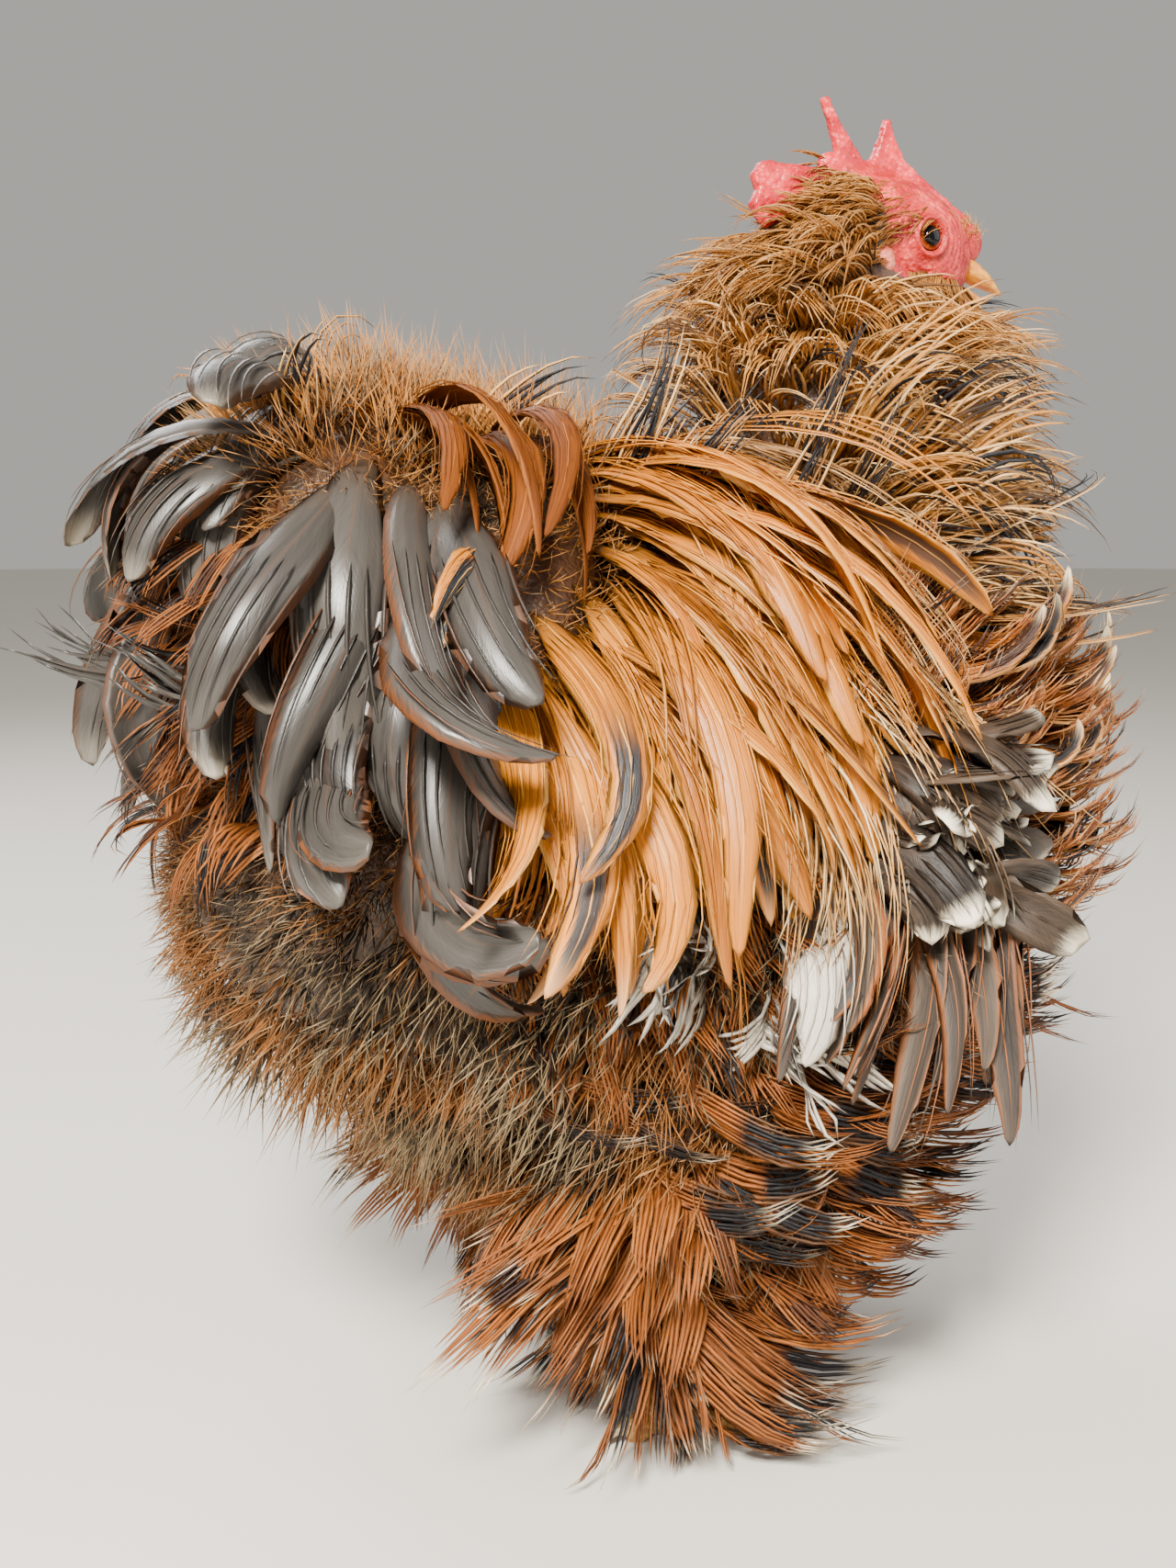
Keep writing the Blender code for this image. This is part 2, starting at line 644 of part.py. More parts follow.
def build_foot(hand, side, finishes, shank):
    """The toes with flat soles, their claws, and the pad under the shank."""
    middle = mirrored(FOOT_PAD.centre, side)
    toes, claws = [partial(egg_form, FOOT_PAD, side, segments=10, rings=6)], []
    for name, (turn, length) in TOES.items():
        way = outward(turn * side, 0)
        base = Vector((middle.x, middle.y, TOE_Z))
        spots = [base + way * length * share for share in (0, 0.45, 0.7, 1)]
        toes.append(partial(tube_form, spots, [TOE_R, TOE_TIP_R, KNUCKLE_R, TOE_TIP_R], 6))
        root = base + way * (length - CLAW_LENGTH * 0.25)
        crest = root + way * CLAW_LENGTH * 0.5 + UP * CLAW_RISE
        tip = root + way * CLAW_LENGTH - UP * (TOE_Z - CLAW_TIP_R - GAP)
        claw = partial(tube_form, [root, crest, tip], [CLAW_R, CLAW_R * 0.8, CLAW_TIP_R], 5)
        solid(f"claw_{hand}_{name}", [claw], finishes["claw"])
        claws.append(claw)
    floor = slab_form(Vector((0, 0, -GAP / 2)), UP, -1)
    solid(f"foot_{hand}", toes, finishes["skin"], [*grown([*claws, *shank]), floor])


def build_legs(finishes, chance, cores, others):
    """Each thigh and its feathers, the feathered shank below it, and the foot."""
    thighs = []
    for hand, side in SIDES.items():
        thigh = cores[f"thigh_{hand}"]
        hock, ankle = mirrored(HOCK, side), mirrored(ANKLE, side)
        shank = [partial(tube_form, [hock, ankle], [SHANK_TOP_R, SHANK_R], 10)]
        build_foot(hand, side, finishes, shank)
        below = surface_of([form() for form in shank])
        beside = [*others, below, *outlying([*cores["trunk"], *cores[f"wing_{hand}"]], thigh)]
        coat = vanes(settled(plumage(THIGH_TRACTS, [], thigh, chance, side), beside))
        thigh_tree = surface_of([form() for form in [*thigh, *coat]])
        fringe = ring_feathers(hock, ankle, SHANK_RINGS, chance, side)
        fringe = vanes(settled(fringe, [*others, thigh_tree]))
        others.append(thigh_tree)
        others.append(surface_of([form() for form in fringe]))
        solid(f"shank_{hand}", [*shank, *fringe], finishes["fluff"], grown(thigh), "MANIFOLD")
        solid(f"thigh_{hand}", [*thigh, *coat], finishes["fluff"], solver="MANIFOLD")
        thighs += thigh
    return thighs


def plumage(tracts, whorls, core, chance, side=0):
    """All the feathers of one node, on the surface of its core."""
    surface = surface_of([form() for form in core])
    made = [
        feather for tract in tracts for feather in tract_feathers(tract, surface, chance, side)
    ]
    for whorl in whorls:
        for hand in SIDES.values():
            made += whorl_feathers(whorl, surface, chance, hand)
    return made


def stand_on_origin():
    """Gathers the nodes under one empty, with the middle of the whole bird's base on the origin."""
    scene = bpy.context.scene.collection
    nodes = list(scene.objects)
    spots = [vert.co for node in nodes for vert in node.data.vertices]
    base = Vector((0, 0, 0))
    for axis in (0, 1):
        reach = [spot[axis] for spot in spots]
        base[axis] = (min(reach) + max(reach)) / 2
    bird = bpy.data.collections.new("frizzle_chicken")
    scene.children.link(bird)
    stand = bpy.data.objects.new("frizzle_chicken_base", None)
    bird.objects.link(stand)
    for node in nodes:
        scene.objects.unlink(node)
        bird.objects.link(node)
        node.parent = stand
        node.location = -base


def main():
    """Builds every node, then sets the middle of the base on the origin."""
    clear_scene()
    chance = random.Random(SEED)
    finishes = {
        "face": finish_of("face_skin", (0.66, 0.10, 0.09), 0.5),
        "comb": finish_of("comb_skin", (0.72, 0.07, 0.08), 0.45),
        "beak": finish_of("beak_horn", (0.80, 0.55, 0.20), 0.4),
        "claw": finish_of("claw_horn", (0.45, 0.34, 0.22), 0.4),
        "skin": finish_of("foot_skin", (0.62, 0.48, 0.26), 0.55),
        "eye": finish_of("eye_amber", (0.45, 0.13, 0.02), 0.1),
        "hackle": finish_of("hackle_gold", (0.50, 0.24, 0.08), 0.5),
        "saddle": finish_of("saddle_chestnut", (0.47, 0.20, 0.06), 0.45),
        "sickle": finish_of("tail_slate", (0.08, 0.08, 0.09), 0.35),
        "fluff": finish_of("fluff_rust", (0.30, 0.14, 0.06), 0.8),
        "breast": finish_of("breast_red_brown", (0.36, 0.15, 0.06), 0.6),
    }
    cores = {
        "neck": [partial(cone_form, NECK_BASE, NECK_TOP, NECK_BASE_R, NECK_TOP_R)],
        "tail": [partial(egg_form, RUMP_TOP, segments=16, rings=10)],
        "saddle": [partial(egg_form, CUSHION)],
        "trunk": [
            partial(egg_form, TRUNK, segments=22, rings=13),
            partial(egg_form, BREAST, segments=20, rings=12),
            partial(egg_form, VENT, segments=16, rings=10),
        ],
    }
    for hand, side in SIDES.items():
        cores[f"wing_{hand}"] = [partial(egg_form, WING, side, segments=12, rings=9)]
        cores[f"thigh_{hand}"] = [partial(egg_form, THIGH, side, segments=16, rings=10)]
    head = build_head(finishes)
    plumes = {
        "neck": plumage(HACKLE, [], cores["neck"], chance),
        "tail": plumage(TAIL_TRACTS, [], cores["tail"], chance),
        "saddle": plumage(SADDLE_TRACTS, SADDLE_WHORLS, cores["saddle"], chance) + [
            feather for side in SIDES.values()
            for feather in plumage([REAR_DRAPE], [], cores["saddle"], chance, side)
        ],
        "wing_left": plumage([*WING_COVERTS, FLIGHTS], [], cores["wing_left"], chance, 1),
        "wing_right": plumage([*WING_COVERTS, FLIGHTS], [], cores["wing_right"], chance, -1),
        "trunk": plumage(BREAST_TRACTS, [], cores["trunk"], chance) + [
            feather for side in SIDES.values()
            for feather in plumage([SHOULDER, FLANK], [], cores["trunk"], chance, side)
        ],
    }
    placed, done = [surface_of([form() for form in head])], []
    coats, waiting = {}, dict(cores)
    for name, feathers in plumes.items():
        core = waiting.pop(name)
        later = outlying([piece for pieces in waiting.values() for piece in pieces], core)
        bare = [
            feather for feather in feathers if not any(buried(feather.root, tree) for tree in done)
        ]
        coats[name] = vanes(settled(bare, [*placed, *done, *later]))
        placed.append(surface_of([form() for form in coats[name]]))
        done += [surface_of([form()]) for form in core]
    thighs = build_legs(finishes, chance, cores, placed)
    neck, tail, saddle = cores["neck"], cores["tail"], cores["saddle"]
    solid("neck", [*neck, *coats["neck"]], finishes["hackle"],
          [*grown(head), slab_form(*HEAD_CUT, 1)], "MANIFOLD")
    solid("tail", [*tail, *coats["tail"]], finishes["sickle"], solver="MANIFOLD")
    solid("saddle", [*saddle, *coats["saddle"]], finishes["saddle"], grown([*tail, *neck]), "MANIFOLD")
    wings = []
    for hand in SIDES:
        wing = cores[f"wing_{hand}"]
        solid(f"wing_{hand}", [*wing, *coats[f"wing_{hand}"]], finishes["sickle"],
              grown([*saddle, *neck]), "MANIFOLD")
        wings += wing
    solid("torso", [*cores["trunk"], *coats["trunk"]], finishes["breast"],
          grown([*neck, *tail, *saddle, *wings, *thighs]), "MANIFOLD")
    stand_on_origin()


main()
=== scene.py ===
"""A frizzle chicken, life size, as a museum model: its skin, plumage, down, head and feet.

Lengths are in metres and angles in degrees. The bill points to +X, the bird's left is +Y and up is +Z.
Places are given in the pose's own layout, and `laid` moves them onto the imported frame.
"""

import logging
import math
import zlib
from collections.abc import Callable
from dataclasses import astuple, dataclass, field, replace
from enum import Enum

import bmesh
import bpy
import numpy as np
from mathutils import Matrix, Vector, noise
from mathutils.bvhtree import BVHTree


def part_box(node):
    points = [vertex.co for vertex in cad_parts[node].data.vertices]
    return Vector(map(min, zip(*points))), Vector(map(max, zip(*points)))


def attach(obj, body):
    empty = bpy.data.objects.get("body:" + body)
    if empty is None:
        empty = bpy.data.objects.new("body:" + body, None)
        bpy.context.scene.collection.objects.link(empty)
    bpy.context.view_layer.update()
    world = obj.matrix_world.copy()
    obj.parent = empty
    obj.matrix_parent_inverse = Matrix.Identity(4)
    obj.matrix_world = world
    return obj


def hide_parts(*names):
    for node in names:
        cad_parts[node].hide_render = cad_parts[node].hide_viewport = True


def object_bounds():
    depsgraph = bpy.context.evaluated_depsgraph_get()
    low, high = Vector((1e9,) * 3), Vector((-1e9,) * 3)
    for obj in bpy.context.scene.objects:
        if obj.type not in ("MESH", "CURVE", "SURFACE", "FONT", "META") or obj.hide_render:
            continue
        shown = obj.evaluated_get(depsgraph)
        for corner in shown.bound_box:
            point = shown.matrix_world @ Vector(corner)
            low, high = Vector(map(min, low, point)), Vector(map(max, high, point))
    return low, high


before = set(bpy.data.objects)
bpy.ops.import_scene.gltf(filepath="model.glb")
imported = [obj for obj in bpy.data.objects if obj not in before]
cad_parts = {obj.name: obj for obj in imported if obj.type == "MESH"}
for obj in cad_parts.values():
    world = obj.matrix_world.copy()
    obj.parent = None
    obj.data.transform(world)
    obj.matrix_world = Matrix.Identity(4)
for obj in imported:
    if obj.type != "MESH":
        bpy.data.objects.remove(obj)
CAD_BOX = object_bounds()
LOG = logging.getLogger("frizzle_chicken")

# Short names of the types that come up throughout.
Point = tuple[float, float, float]
Ink = tuple[int, int, int]
Span = tuple[float, float]
Rows = np.ndarray
Thing = bpy.types.Object
Mesh = bpy.types.Mesh
Form = bmesh.types.BMesh
Material = bpy.types.Material
Chance = np.random.Generator

UP, FORE, LEFT = np.array((0.0, 0.0, 1.0)), np.array((1.0, 0.0, 0.0)), np.array((0.0, 1.0, 0.0))
EYE_LAYOUT = Vector((0.107, -0.013, 0.368))
LAYOUT = sum(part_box("eye_right"), Vector()) / 2 - EYE_LAYOUT

PROUD_SHARE, PROUD = 0.03, 0.01
SPARE = 0.0015
BEND = 0.01
FLOOR_GAP = 0.0012
PATCH = 0.003
ROOT_DEPTH = 0.0015
NOISE_SEED = 1795742941

EYE_AT, LOOK = (0.1042, 0.0142, 0.3656), (0.05, 1.0, 0.1)
FACE_MIDDLE = (0.108, 0, 0.366)
HOCK, ANKLE = (-0.012, 0.052, 0.074), (0.0, 0.054, 0.012)
NECK_AXIS = ((0.087, 0, 0.362), (0.07, 0, 0.24))
FEET = ("foot_left", "foot_right")


def laid(point: Point, side: int = 1) -> Vector:
    """A place of the pose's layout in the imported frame; side -1 mirrors it onto the right side."""
    return Vector((point[0], point[1] * side, point[2])) + LAYOUT


def unit(vectors: Rows) -> Rows:
    """The same directions at length one."""
    return vectors / np.maximum(np.linalg.norm(vectors, axis=-1, keepdims=True), 1e-9)


def smooth(values: Rows, low: float, high: float) -> Rows:
    """Rises smoothly from 0 at low to 1 at high."""
    share = np.clip((values - low) / (high - low), 0.0, 1.0)
    return share * share * (3 - 2 * share)


def fanned(turns: Rows, out: Rows | float, up: Rows | float) -> Rows:
    """Vectors at these angles round the upright, so far out and so far up."""
    return np.stack([np.cos(turns) * out, np.sin(turns) * out, np.zeros(len(turns)) + up], axis=1)


def chance_of(name: str) -> Chance:
    """The random draws of one named thing, the same on each run."""
    return np.random.default_rng(zlib.crc32(name.encode()))


def linear(ink: Ink) -> tuple[float, float, float, float]:
    """A screen colour of 0 to 255 as a linear colour with alpha."""
    shares = [value / 255 for value in ink]
    return (*[s / 12.92 if s <= 0.04045 else ((s + 0.055) / 1.055) ** 2.4 for s in shares], 1.0)


class Side(Enum):
    """Where a tract grows: on the midline, or on both flanks."""

    MIDDLE = 0
    BOTH = 1


class Tree:
    """A node tree that is filled by one method."""

    def __init__(self, tree: bpy.types.NodeTree) -> None:
        """Keeps the tree."""
        self.tree = tree

    def feed(self, socket: bpy.types.NodeSocket, value: object) -> None:
        """Links a value to a socket, or sets the socket to it."""
        if isinstance(value, Value):
            self.tree.links.new(value.socket, socket)
        else:
            socket.default_value = value

    def node(self, kind: str, settings: dict | None = None, sockets: dict | None = None,
             out: int | str = 0) -> "Value":
        """Adds a node.

        Args:
            kind: Blender's type name of the node.
            settings: properties of the node, set first.
            sockets: inputs by name or index, as plain values or links.
            out: the output that is returned.

        Returns:
            The chosen output, wrapped.
        """
        made = self.tree.nodes.new(kind)
        for key, value in (settings or {}).items():
            setattr(made, key, value)
        for key, value in (sockets or {}).items():
            self.feed(made.inputs[key], value)
        return Value(self, made.outputs[out])


def maths(operation: str, first: bool = True) -> Callable[..., "Value"]:
    """Makes a method that adds a Math node.

    Args:
        operation: the node's operation.
        first: whether the value itself is the first operand.

    Returns:
        The method, which takes the other operands and gives the result.
    """
    def method(value: "Value", *others: object) -> "Value":
        """This value and the others, put together."""
        operands = (value, *others) if first else (*others, value)
        return value.home.node("ShaderNodeMath", {"operation": operation}, dict(enumerate(operands)))

    return method


class Value:
    """One output socket that takes part in Python arithmetic through Math nodes."""

    def __init__(self, home: Tree, socket: bpy.types.NodeSocket) -> None:
        """Wraps a socket of a tree."""
        self.home, self.socket = home, socket

    __add__ = __radd__ = maths("ADD")
    __mul__ = __rmul__ = maths("MULTIPLY")
    __sub__, __rsub__ = maths("SUBTRACT"), maths("SUBTRACT", first=False)
    absolute = maths("ABSOLUTE")

    def clamped(self) -> "Value":
        """Held between 0 and 1."""
        return self.home.node("ShaderNodeClamp", {}, {0: self})

    def smooth(self, low: float, high: float) -> "Value":
        """Rises smoothly from 0 at low to 1 at high."""
        return self.home.node("ShaderNodeMapRange", {"interpolation_type": "SMOOTHSTEP"},
                              {"Value": self, "From Min": low, "From Max": high})


class Bench(Tree):
    """The making of one material."""

    def __init__(self, name: str) -> None:
        """Starts an empty material."""
        self.material = bpy.data.materials.new(name)
        self.material.use_nodes = True
        self.material.node_tree.nodes.clear()
        super().__init__(self.material.node_tree)

    def attribute(self, name: str, out: str = "Vector") -> Value:
        """A named attribute of the mesh."""
        return self.node("ShaderNodeAttribute", {"attribute_name": name}, {}, out)

    def parts(self, vector: Value) -> list[Value]:
        """The three numbers of a vector."""
        split = self.node("ShaderNodeSeparateXYZ", {}, {0: vector}).socket.node
        return [Value(self, socket) for socket in split.outputs]

    def vector(self, x: object, y: object, z: object) -> Value:
        """A vector of three numbers."""
        return self.node("ShaderNodeCombineXYZ", {}, {0: x, 1: y, 2: z})

    def place(self) -> Value:
        """The place on the piece, in metres."""
        return self.node("ShaderNodeTexCoord", {}, {}, "Object")

    def noise(self, at: Value, scale: float, detail: float = 2.0, rough: float = 0.5) -> Value:
        """Smooth noise about 0.5."""
        return self.node("ShaderNodeTexNoise", {}, {"Vector": at, "Scale": scale, "Detail": detail,
                                                    "Roughness": rough})

    def cells(self, at: Value, scale: float) -> Value:
        """The distance to the nearest of scattered points."""
        return self.node("ShaderNodeTexVoronoi", {}, {"Vector": at, "Scale": scale}, "Distance")

    def blend(self, share: object, first: object, second: object, how: str = "MIX") -> Value:
        """Mixes two colours.

        Args:
            share: how far from the first colour to the second.
            first: a colour as screen values, or a link.
            second: a colour as screen values, or a link.
            how: the blend mode.

        Returns:
            The mixed colour.
        """
        colours = [c if isinstance(c, Value) else linear(c) for c in (first, second)]
        return self.node("ShaderNodeMix", {"data_type": "RGBA", "blend_type": how},
                         {0: share, 6: colours[0], 7: colours[1]}, 2)

    def bump(self, height: Value, depth: float, strength: float = 1.0) -> Value:
        """A normal from a height of 0 to 1 that is depth metres deep."""
        return self.node("ShaderNodeBump", {}, {"Height": height, "Distance": depth, "Strength": strength})

    def done(self, colour: object, **sockets: object) -> Material:
        """Ends the material.

        Args:
            colour: the base colour, a link or screen values.
            sockets: other inputs of the shader, with _ for a space in their names.

        Returns:
            The material.
        """
        values = {key.replace("_", " "): value for key, value in sockets.items()}
        values["Base Color"] = colour if isinstance(colour, Value) else linear(colour)
        output = self.tree.nodes.new("ShaderNodeOutputMaterial")
        self.feed(output.inputs["Surface"], self.node("ShaderNodeBsdfPrincipled", {}, values))
        return self.material


@dataclass(frozen=True)
class PlumeFinish:
    """Feathers: grey at the root, a ground colour with a dark stripe, a lighter edge and a pale tip."""

    name: str
    root: Ink
    dark: Ink
    light: Ink
    slate: Ink
    edge: Ink
    tip: Ink
    quill: float = 0.0
    roughness: float = 0.42
    gloss: float = 0.25
    streak: float = 2.2
    rim: Span = (0.45, 0.85)
    stripe: Span = (0.26, 0.5)
    spread: Span = (0.4, 0.66)
    ends: Span = (0.82, 0.98)

    def material(self) -> Material:
        """The material, which reads the feathers' own attributes."""
        bench = Bench(self.name)
        along, across, tone = bench.parts(bench.attribute("plume"))
        slate, gold, pale = bench.parts(bench.attribute("marking"))
        edge = across.absolute()
        barbs = bench.noise(bench.vector(along * 110.0 - edge * 26.0, across * 3.0, tone * 31.0), 1.0, 3.0)
        strands = bench.noise(bench.vector(across * 8.0, along * 1.3, tone * 17.0), 1.0, 4.0, 0.75)
        cloud = bench.noise(bench.vector(along * 3.0, across * 1.2, tone * 53.0), 1.0, 2.0)
        grain = barbs * 0.35 + strands * 0.65
        depth = (tone * 0.55 + cloud * 0.7 + (grain - 0.5) * self.streak - 0.12).clamped()
        ground = bench.blend(depth, self.dark, self.light)
        rooted = bench.blend(along.smooth(0.02, 0.35), self.root, ground)
        ragged = edge + (barbs - 0.5) * 0.5
        band = (1 - ragged.smooth(*self.spread)) * along.smooth(*self.stripe)
        band = band * (1 - along.smooth(0.86, 0.98))
        striped = bench.blend((slate * band * (grain * 0.5 + 0.85)).clamped(), rooted, self.slate)
        rim = (ragged.smooth(*self.rim) * gold * along.smooth(0.2, 0.5) * (grain + 0.4)).clamped()
        edged = bench.blend(rim, striped, self.edge)
        ended = (along + (grain - 0.5) * 0.2).smooth(*self.ends)
        tipped = bench.blend((pale * ended).clamped(), edged, self.tip)
        shaft = (1 - edge.smooth(0.015, 0.05)) * self.quill * (1 - along.smooth(0.7, 0.95))
        colour = bench.blend(shaft, tipped, self.edge)
        rough = self.roughness + (grain - 0.5) * 0.18 * self.streak
        relief = bench.bump(grain + shaft * 0.6, 0.0005, min(0.36 * self.streak, 1.0))
        return bench.done(colour, Roughness=rough, Normal=relief, Specular_IOR_Level=self.gloss)


@dataclass(frozen=True)
class DownFinish:
    """Down: rust and slate in patches, with pale hair tips."""

    name: str
    rust: Ink
    bright: Ink
    slate: Ink
    tip: Ink
    patch: float
    slate_share: float
    pale: float
    shadow: Ink = (30, 22, 16)

    def material(self) -> Material:
        """The material, patchy over the body and paler to the tips."""
        bench = Bench(self.name)
        along, _, shade = bench.parts(bench.attribute("plume"))
        tone = bench.attribute("tone", "Fac")
        patch = bench.noise(bench.place(), self.patch, 2.0)
        slaty = (patch + tone * 0.12 - 0.06).smooth(0.62 - self.slate_share, 0.74 - self.slate_share)
        rust = bench.blend((tone * 0.7 + shade * 0.5 - 0.1).clamped(), self.rust, self.bright)
        ground = bench.blend(slaty, rust, self.slate)
        deep = bench.blend(along.smooth(0.0, 0.45), bench.blend(0.55, ground, self.shadow), ground)
        tips = along.smooth(0.55, 1.0) * self.pale * (shade * 0.8 + 0.4) * (slaty * 0.6 + 0.5)
        return bench.done(bench.blend(tips.clamped(), deep, self.tip), Roughness=0.6,
                          Specular_IOR_Level=0.3)


@dataclass(frozen=True)
class FleshFinish:
    """Bare red skin with pebbles and paler spots, darkened by painted shade in the creases between the
    pebbles.
    """

    name: str
    deep: Ink
    red: Ink
    pale: Ink
    pebbles: float
    depth: float
    roughness: float
    # the skin's colour under the plumage, a dark brown painted shade of the coat's depths; under_shade_dark
    # is its darker patches
    under: Ink | None = None
    under_shade_dark: Ink = (62, 48, 38)
    toe: Ink = (206, 160, 92)
    toe_dark: Ink = (150, 104, 52)

    def material(self) -> Material:
        """The material; with an under colour, the attribute 'bare' says where the flesh shows. Elsewhere the
        skin is painted a dark brown, the shade deep inside the coat, and the feet take scaly colours.
        """
        bench = Bench(self.name)
        place = bench.place()
        cell = bench.cells(place, self.pebbles)
        patch = bench.noise(place, 140.0, 4.0, 0.6)
        fine = bench.noise(place, 1600.0, 2.0)
        red = bench.blend(patch.smooth(0.38, 0.66), self.deep, self.red)
        spotted = bench.blend((1 - cell.smooth(0.1, 0.55)) * patch.smooth(0.45, 0.7) * 0.55, red, self.pale)
        # painted shade: the creases between the pebbles, where the bump is lowest, are darkened towards the
        # deep red
        crease_shaded = bench.blend(cell.smooth(0.5, 0.95) * 0.6, spotted, self.deep)
        height = (1 - cell) * 0.8 + fine * 0.3
        rough = self.roughness + (patch - 0.5) * 0.25
        colour = crease_shaded
        if self.under:
            # painted shade: under the plumage the skin is two dark browns in patches, standing for the shade
            # deep inside the coat
            ground = bench.noise(place, 60.0, 3.0)
            soft = bench.blend(ground.smooth(0.4, 0.62), self.under, self.under_shade_dark)
            scaly = bench.blend(cell.smooth(0.2, 0.8), self.toe, self.toe_dark)
            soft = bench.blend(bench.attribute("foot", "Fac").smooth(0.3, 0.7), soft, scaly)
            colour = bench.blend(bench.attribute("bare", "Fac").smooth(0.35, 0.6), soft, crease_shaded)
        return bench.done(colour, Roughness=rough, Normal=bench.bump(height, self.depth),
                          Subsurface_Weight=0.12, Subsurface_Radius=(0.004, 0.0015, 0.001),
                          Subsurface_Scale=0.5, Coat_Weight=0.08)


@dataclass(frozen=True)
class HornFinish:
    """Horn with fine growth lines, darker towards one end of the attribute 'wear'."""

    name: str
    horn: Ink
    pale: Ink
    worn: Ink
    roughness: float

    def material(self) -> Material:
        """The material."""
        bench = Bench(self.name)
        place = bench.place()
        streak = bench.noise(bench.node("ShaderNodeMapping", {}, {0: place, "Scale": (60.0, 900.0, 500.0)}),
                             1.0, 3.0)
        cloud = bench.noise(place, 260.0, 2.0)
        horn = bench.blend((streak * 0.6 + cloud * 0.6).smooth(0.45, 0.8), self.horn, self.pale)
        mottled = (streak - 0.5) * 0.4 + (cloud - 0.5) * 0.35
        worn = (bench.attribute("wear", "Fac") + mottled).smooth(0.4, 0.75)
        return bench.done(bench.blend(worn, horn, self.worn), Roughness=self.roughness + streak * 0.12,
                          Normal=bench.bump(streak, 0.0001), Coat_Weight=0.15)


@dataclass(frozen=True)
class EyeFinish:
    """A wet eye: the attribute 'gaze' is the angle from the pupil's middle, as a share of a right angle."""

    name: str
    iris: Ink
    rim: Ink
    white: Ink
    pupil: float
    edge: float
    fleck: Ink = (206, 128, 52)
    black: Ink = (7, 7, 9)

    def material(self) -> Material:
        """The material."""
        bench = Bench(self.name)
        gaze = bench.attribute("gaze", "Fac")
        ray = bench.noise(bench.place(), 900.0, 3.0, 0.7)
        ring = bench.blend((gaze + (ray - 0.5) * 0.12).smooth(self.pupil, self.edge), self.iris, self.rim)
        flecked = bench.blend(ray.smooth(0.55, 0.75) * 0.5, ring, self.fleck)
        outer = bench.blend(gaze.smooth(self.edge - 0.01, self.edge + 0.03), flecked, self.white)
        colour = bench.blend(gaze.smooth(self.pupil - 0.012, self.pupil + 0.012), self.black, outer)
        return bench.done(colour, Roughness=0.05, IOR=1.33)


@dataclass(frozen=True)
class FloorFinish:
    """A plain pale matt floor."""

    name: str
    tone: Ink

    def material(self) -> Material:
        """The material."""
        bench = Bench(self.name)
        cloud = bench.noise(bench.place(), 3.0, 3.0)
        darker = tuple(value - 6 for value in self.tone)
        return bench.done(bench.blend(cloud, self.tone, darker), Roughness=0.8)


def put(name: str, data: bpy.types.ID) -> Thing:
    """Puts a mesh, a light or a camera into the scene as an object at the origin."""
    made = bpy.data.objects.new(name, data)
    bpy.context.scene.collection.objects.link(made)
    return made


def form_object(name: str, form: Form) -> Thing:
    """Turns a form into an object, and frees the form."""
    mesh = bpy.data.meshes.new(name)
    form.to_mesh(mesh)
    form.free()
    return put(name, mesh)


def baked(subject: Thing, name: str) -> Thing:
    """The subject's evaluated shape as a plain object; the subject is removed."""
    depsgraph = bpy.context.evaluated_depsgraph_get()
    mesh = bpy.data.meshes.new_from_object(subject.evaluated_get(depsgraph), depsgraph=depsgraph)
    bpy.data.objects.remove(subject, do_unlink=True)
    mesh.name = name
    return put(name, mesh)


def remeshed(form: Form, name: str, voxel: float, rounds: int) -> Thing:
    """One closed skin round all of a form's shells.

    Args:
        form: closed shells that may overlap. The form is freed.
        name: the new piece's name.
        voxel: the grid's spacing.
        rounds: rounds of smoothing.

    Returns:
        The new object.
    """
    subject = form_object(f"{name}_form", form)
    grid = subject.modifiers.new("grid", "REMESH")
    grid.mode, grid.voxel_size, grid.use_smooth_shade = "VOXEL", voxel, True
    soften = subject.modifiers.new("soften", "SMOOTH")
    soften.factor, soften.iterations = 0.5, rounds
    return baked(subject, name)


def node_copy(*nodes: str) -> Form:
    """Merged copies of CAD nodes as one form."""
    form = bmesh.new()
    for node in nodes:
        form.from_mesh(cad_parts[node].data)
    bmesh.ops.remove_doubles(form, verts=form.verts, dist=0.00002)
    return form


def points_of(mesh: Mesh, what: str = "co") -> Rows:
    """The vertices' places, or another vector of theirs, as rows."""
    values = np.zeros(len(mesh.vertices) * 3, np.float32)
    mesh.vertices.foreach_get(what, values)
    return values.reshape(-1, 3).astype(float)


def set_points(mesh: Mesh, points: Rows) -> None:
    """Moves the vertices."""
    mesh.vertices.foreach_set("co", points.astype(np.float32).ravel())
    mesh.update()


def set_share(mesh: Mesh, name: str, values: Rows) -> None:
    """Stores a number for each vertex."""
    mesh.attributes.new(name, "FLOAT", "POINT").data.foreach_set("value", values.astype(np.float32))


def set_vector(mesh: Mesh, name: str, values: Rows) -> None:
    """Stores a vector for each vertex."""
    mesh.attributes.new(name, "FLOAT_VECTOR", "POINT").data.foreach_set(
        "vector", values.astype(np.float32).ravel())


def pebbled(points: Rows, spacing: float) -> Rows:
    """Heights of 0 to 1 of rounded pebbles of that spacing."""
    reach = np.array([noise.voronoi(Vector(p) / spacing)[0][0] for p in points])
    return np.clip(1 - reach * 1.1, 0, 1)


def kept_inside(points: Rows) -> Rows:
    """Bends what would pass the floor or the model's largest size softly back inside it."""
    low, high = (np.array(corner) for corner in CAD_BOX)
    proud = (high - low) * PROUD_SHARE / 2 + PROUD - SPARE
    low, high = low - proud, high + proud
    low[2] = FLOOR_GAP
    over = np.maximum(points - high + BEND, 0)
    points = np.where(over > 0, high - BEND * np.exp(-over / BEND), points)
    under = np.minimum(points - low - BEND, 0)
    return np.where(under < 0, low + BEND * np.exp(under / BEND), points)


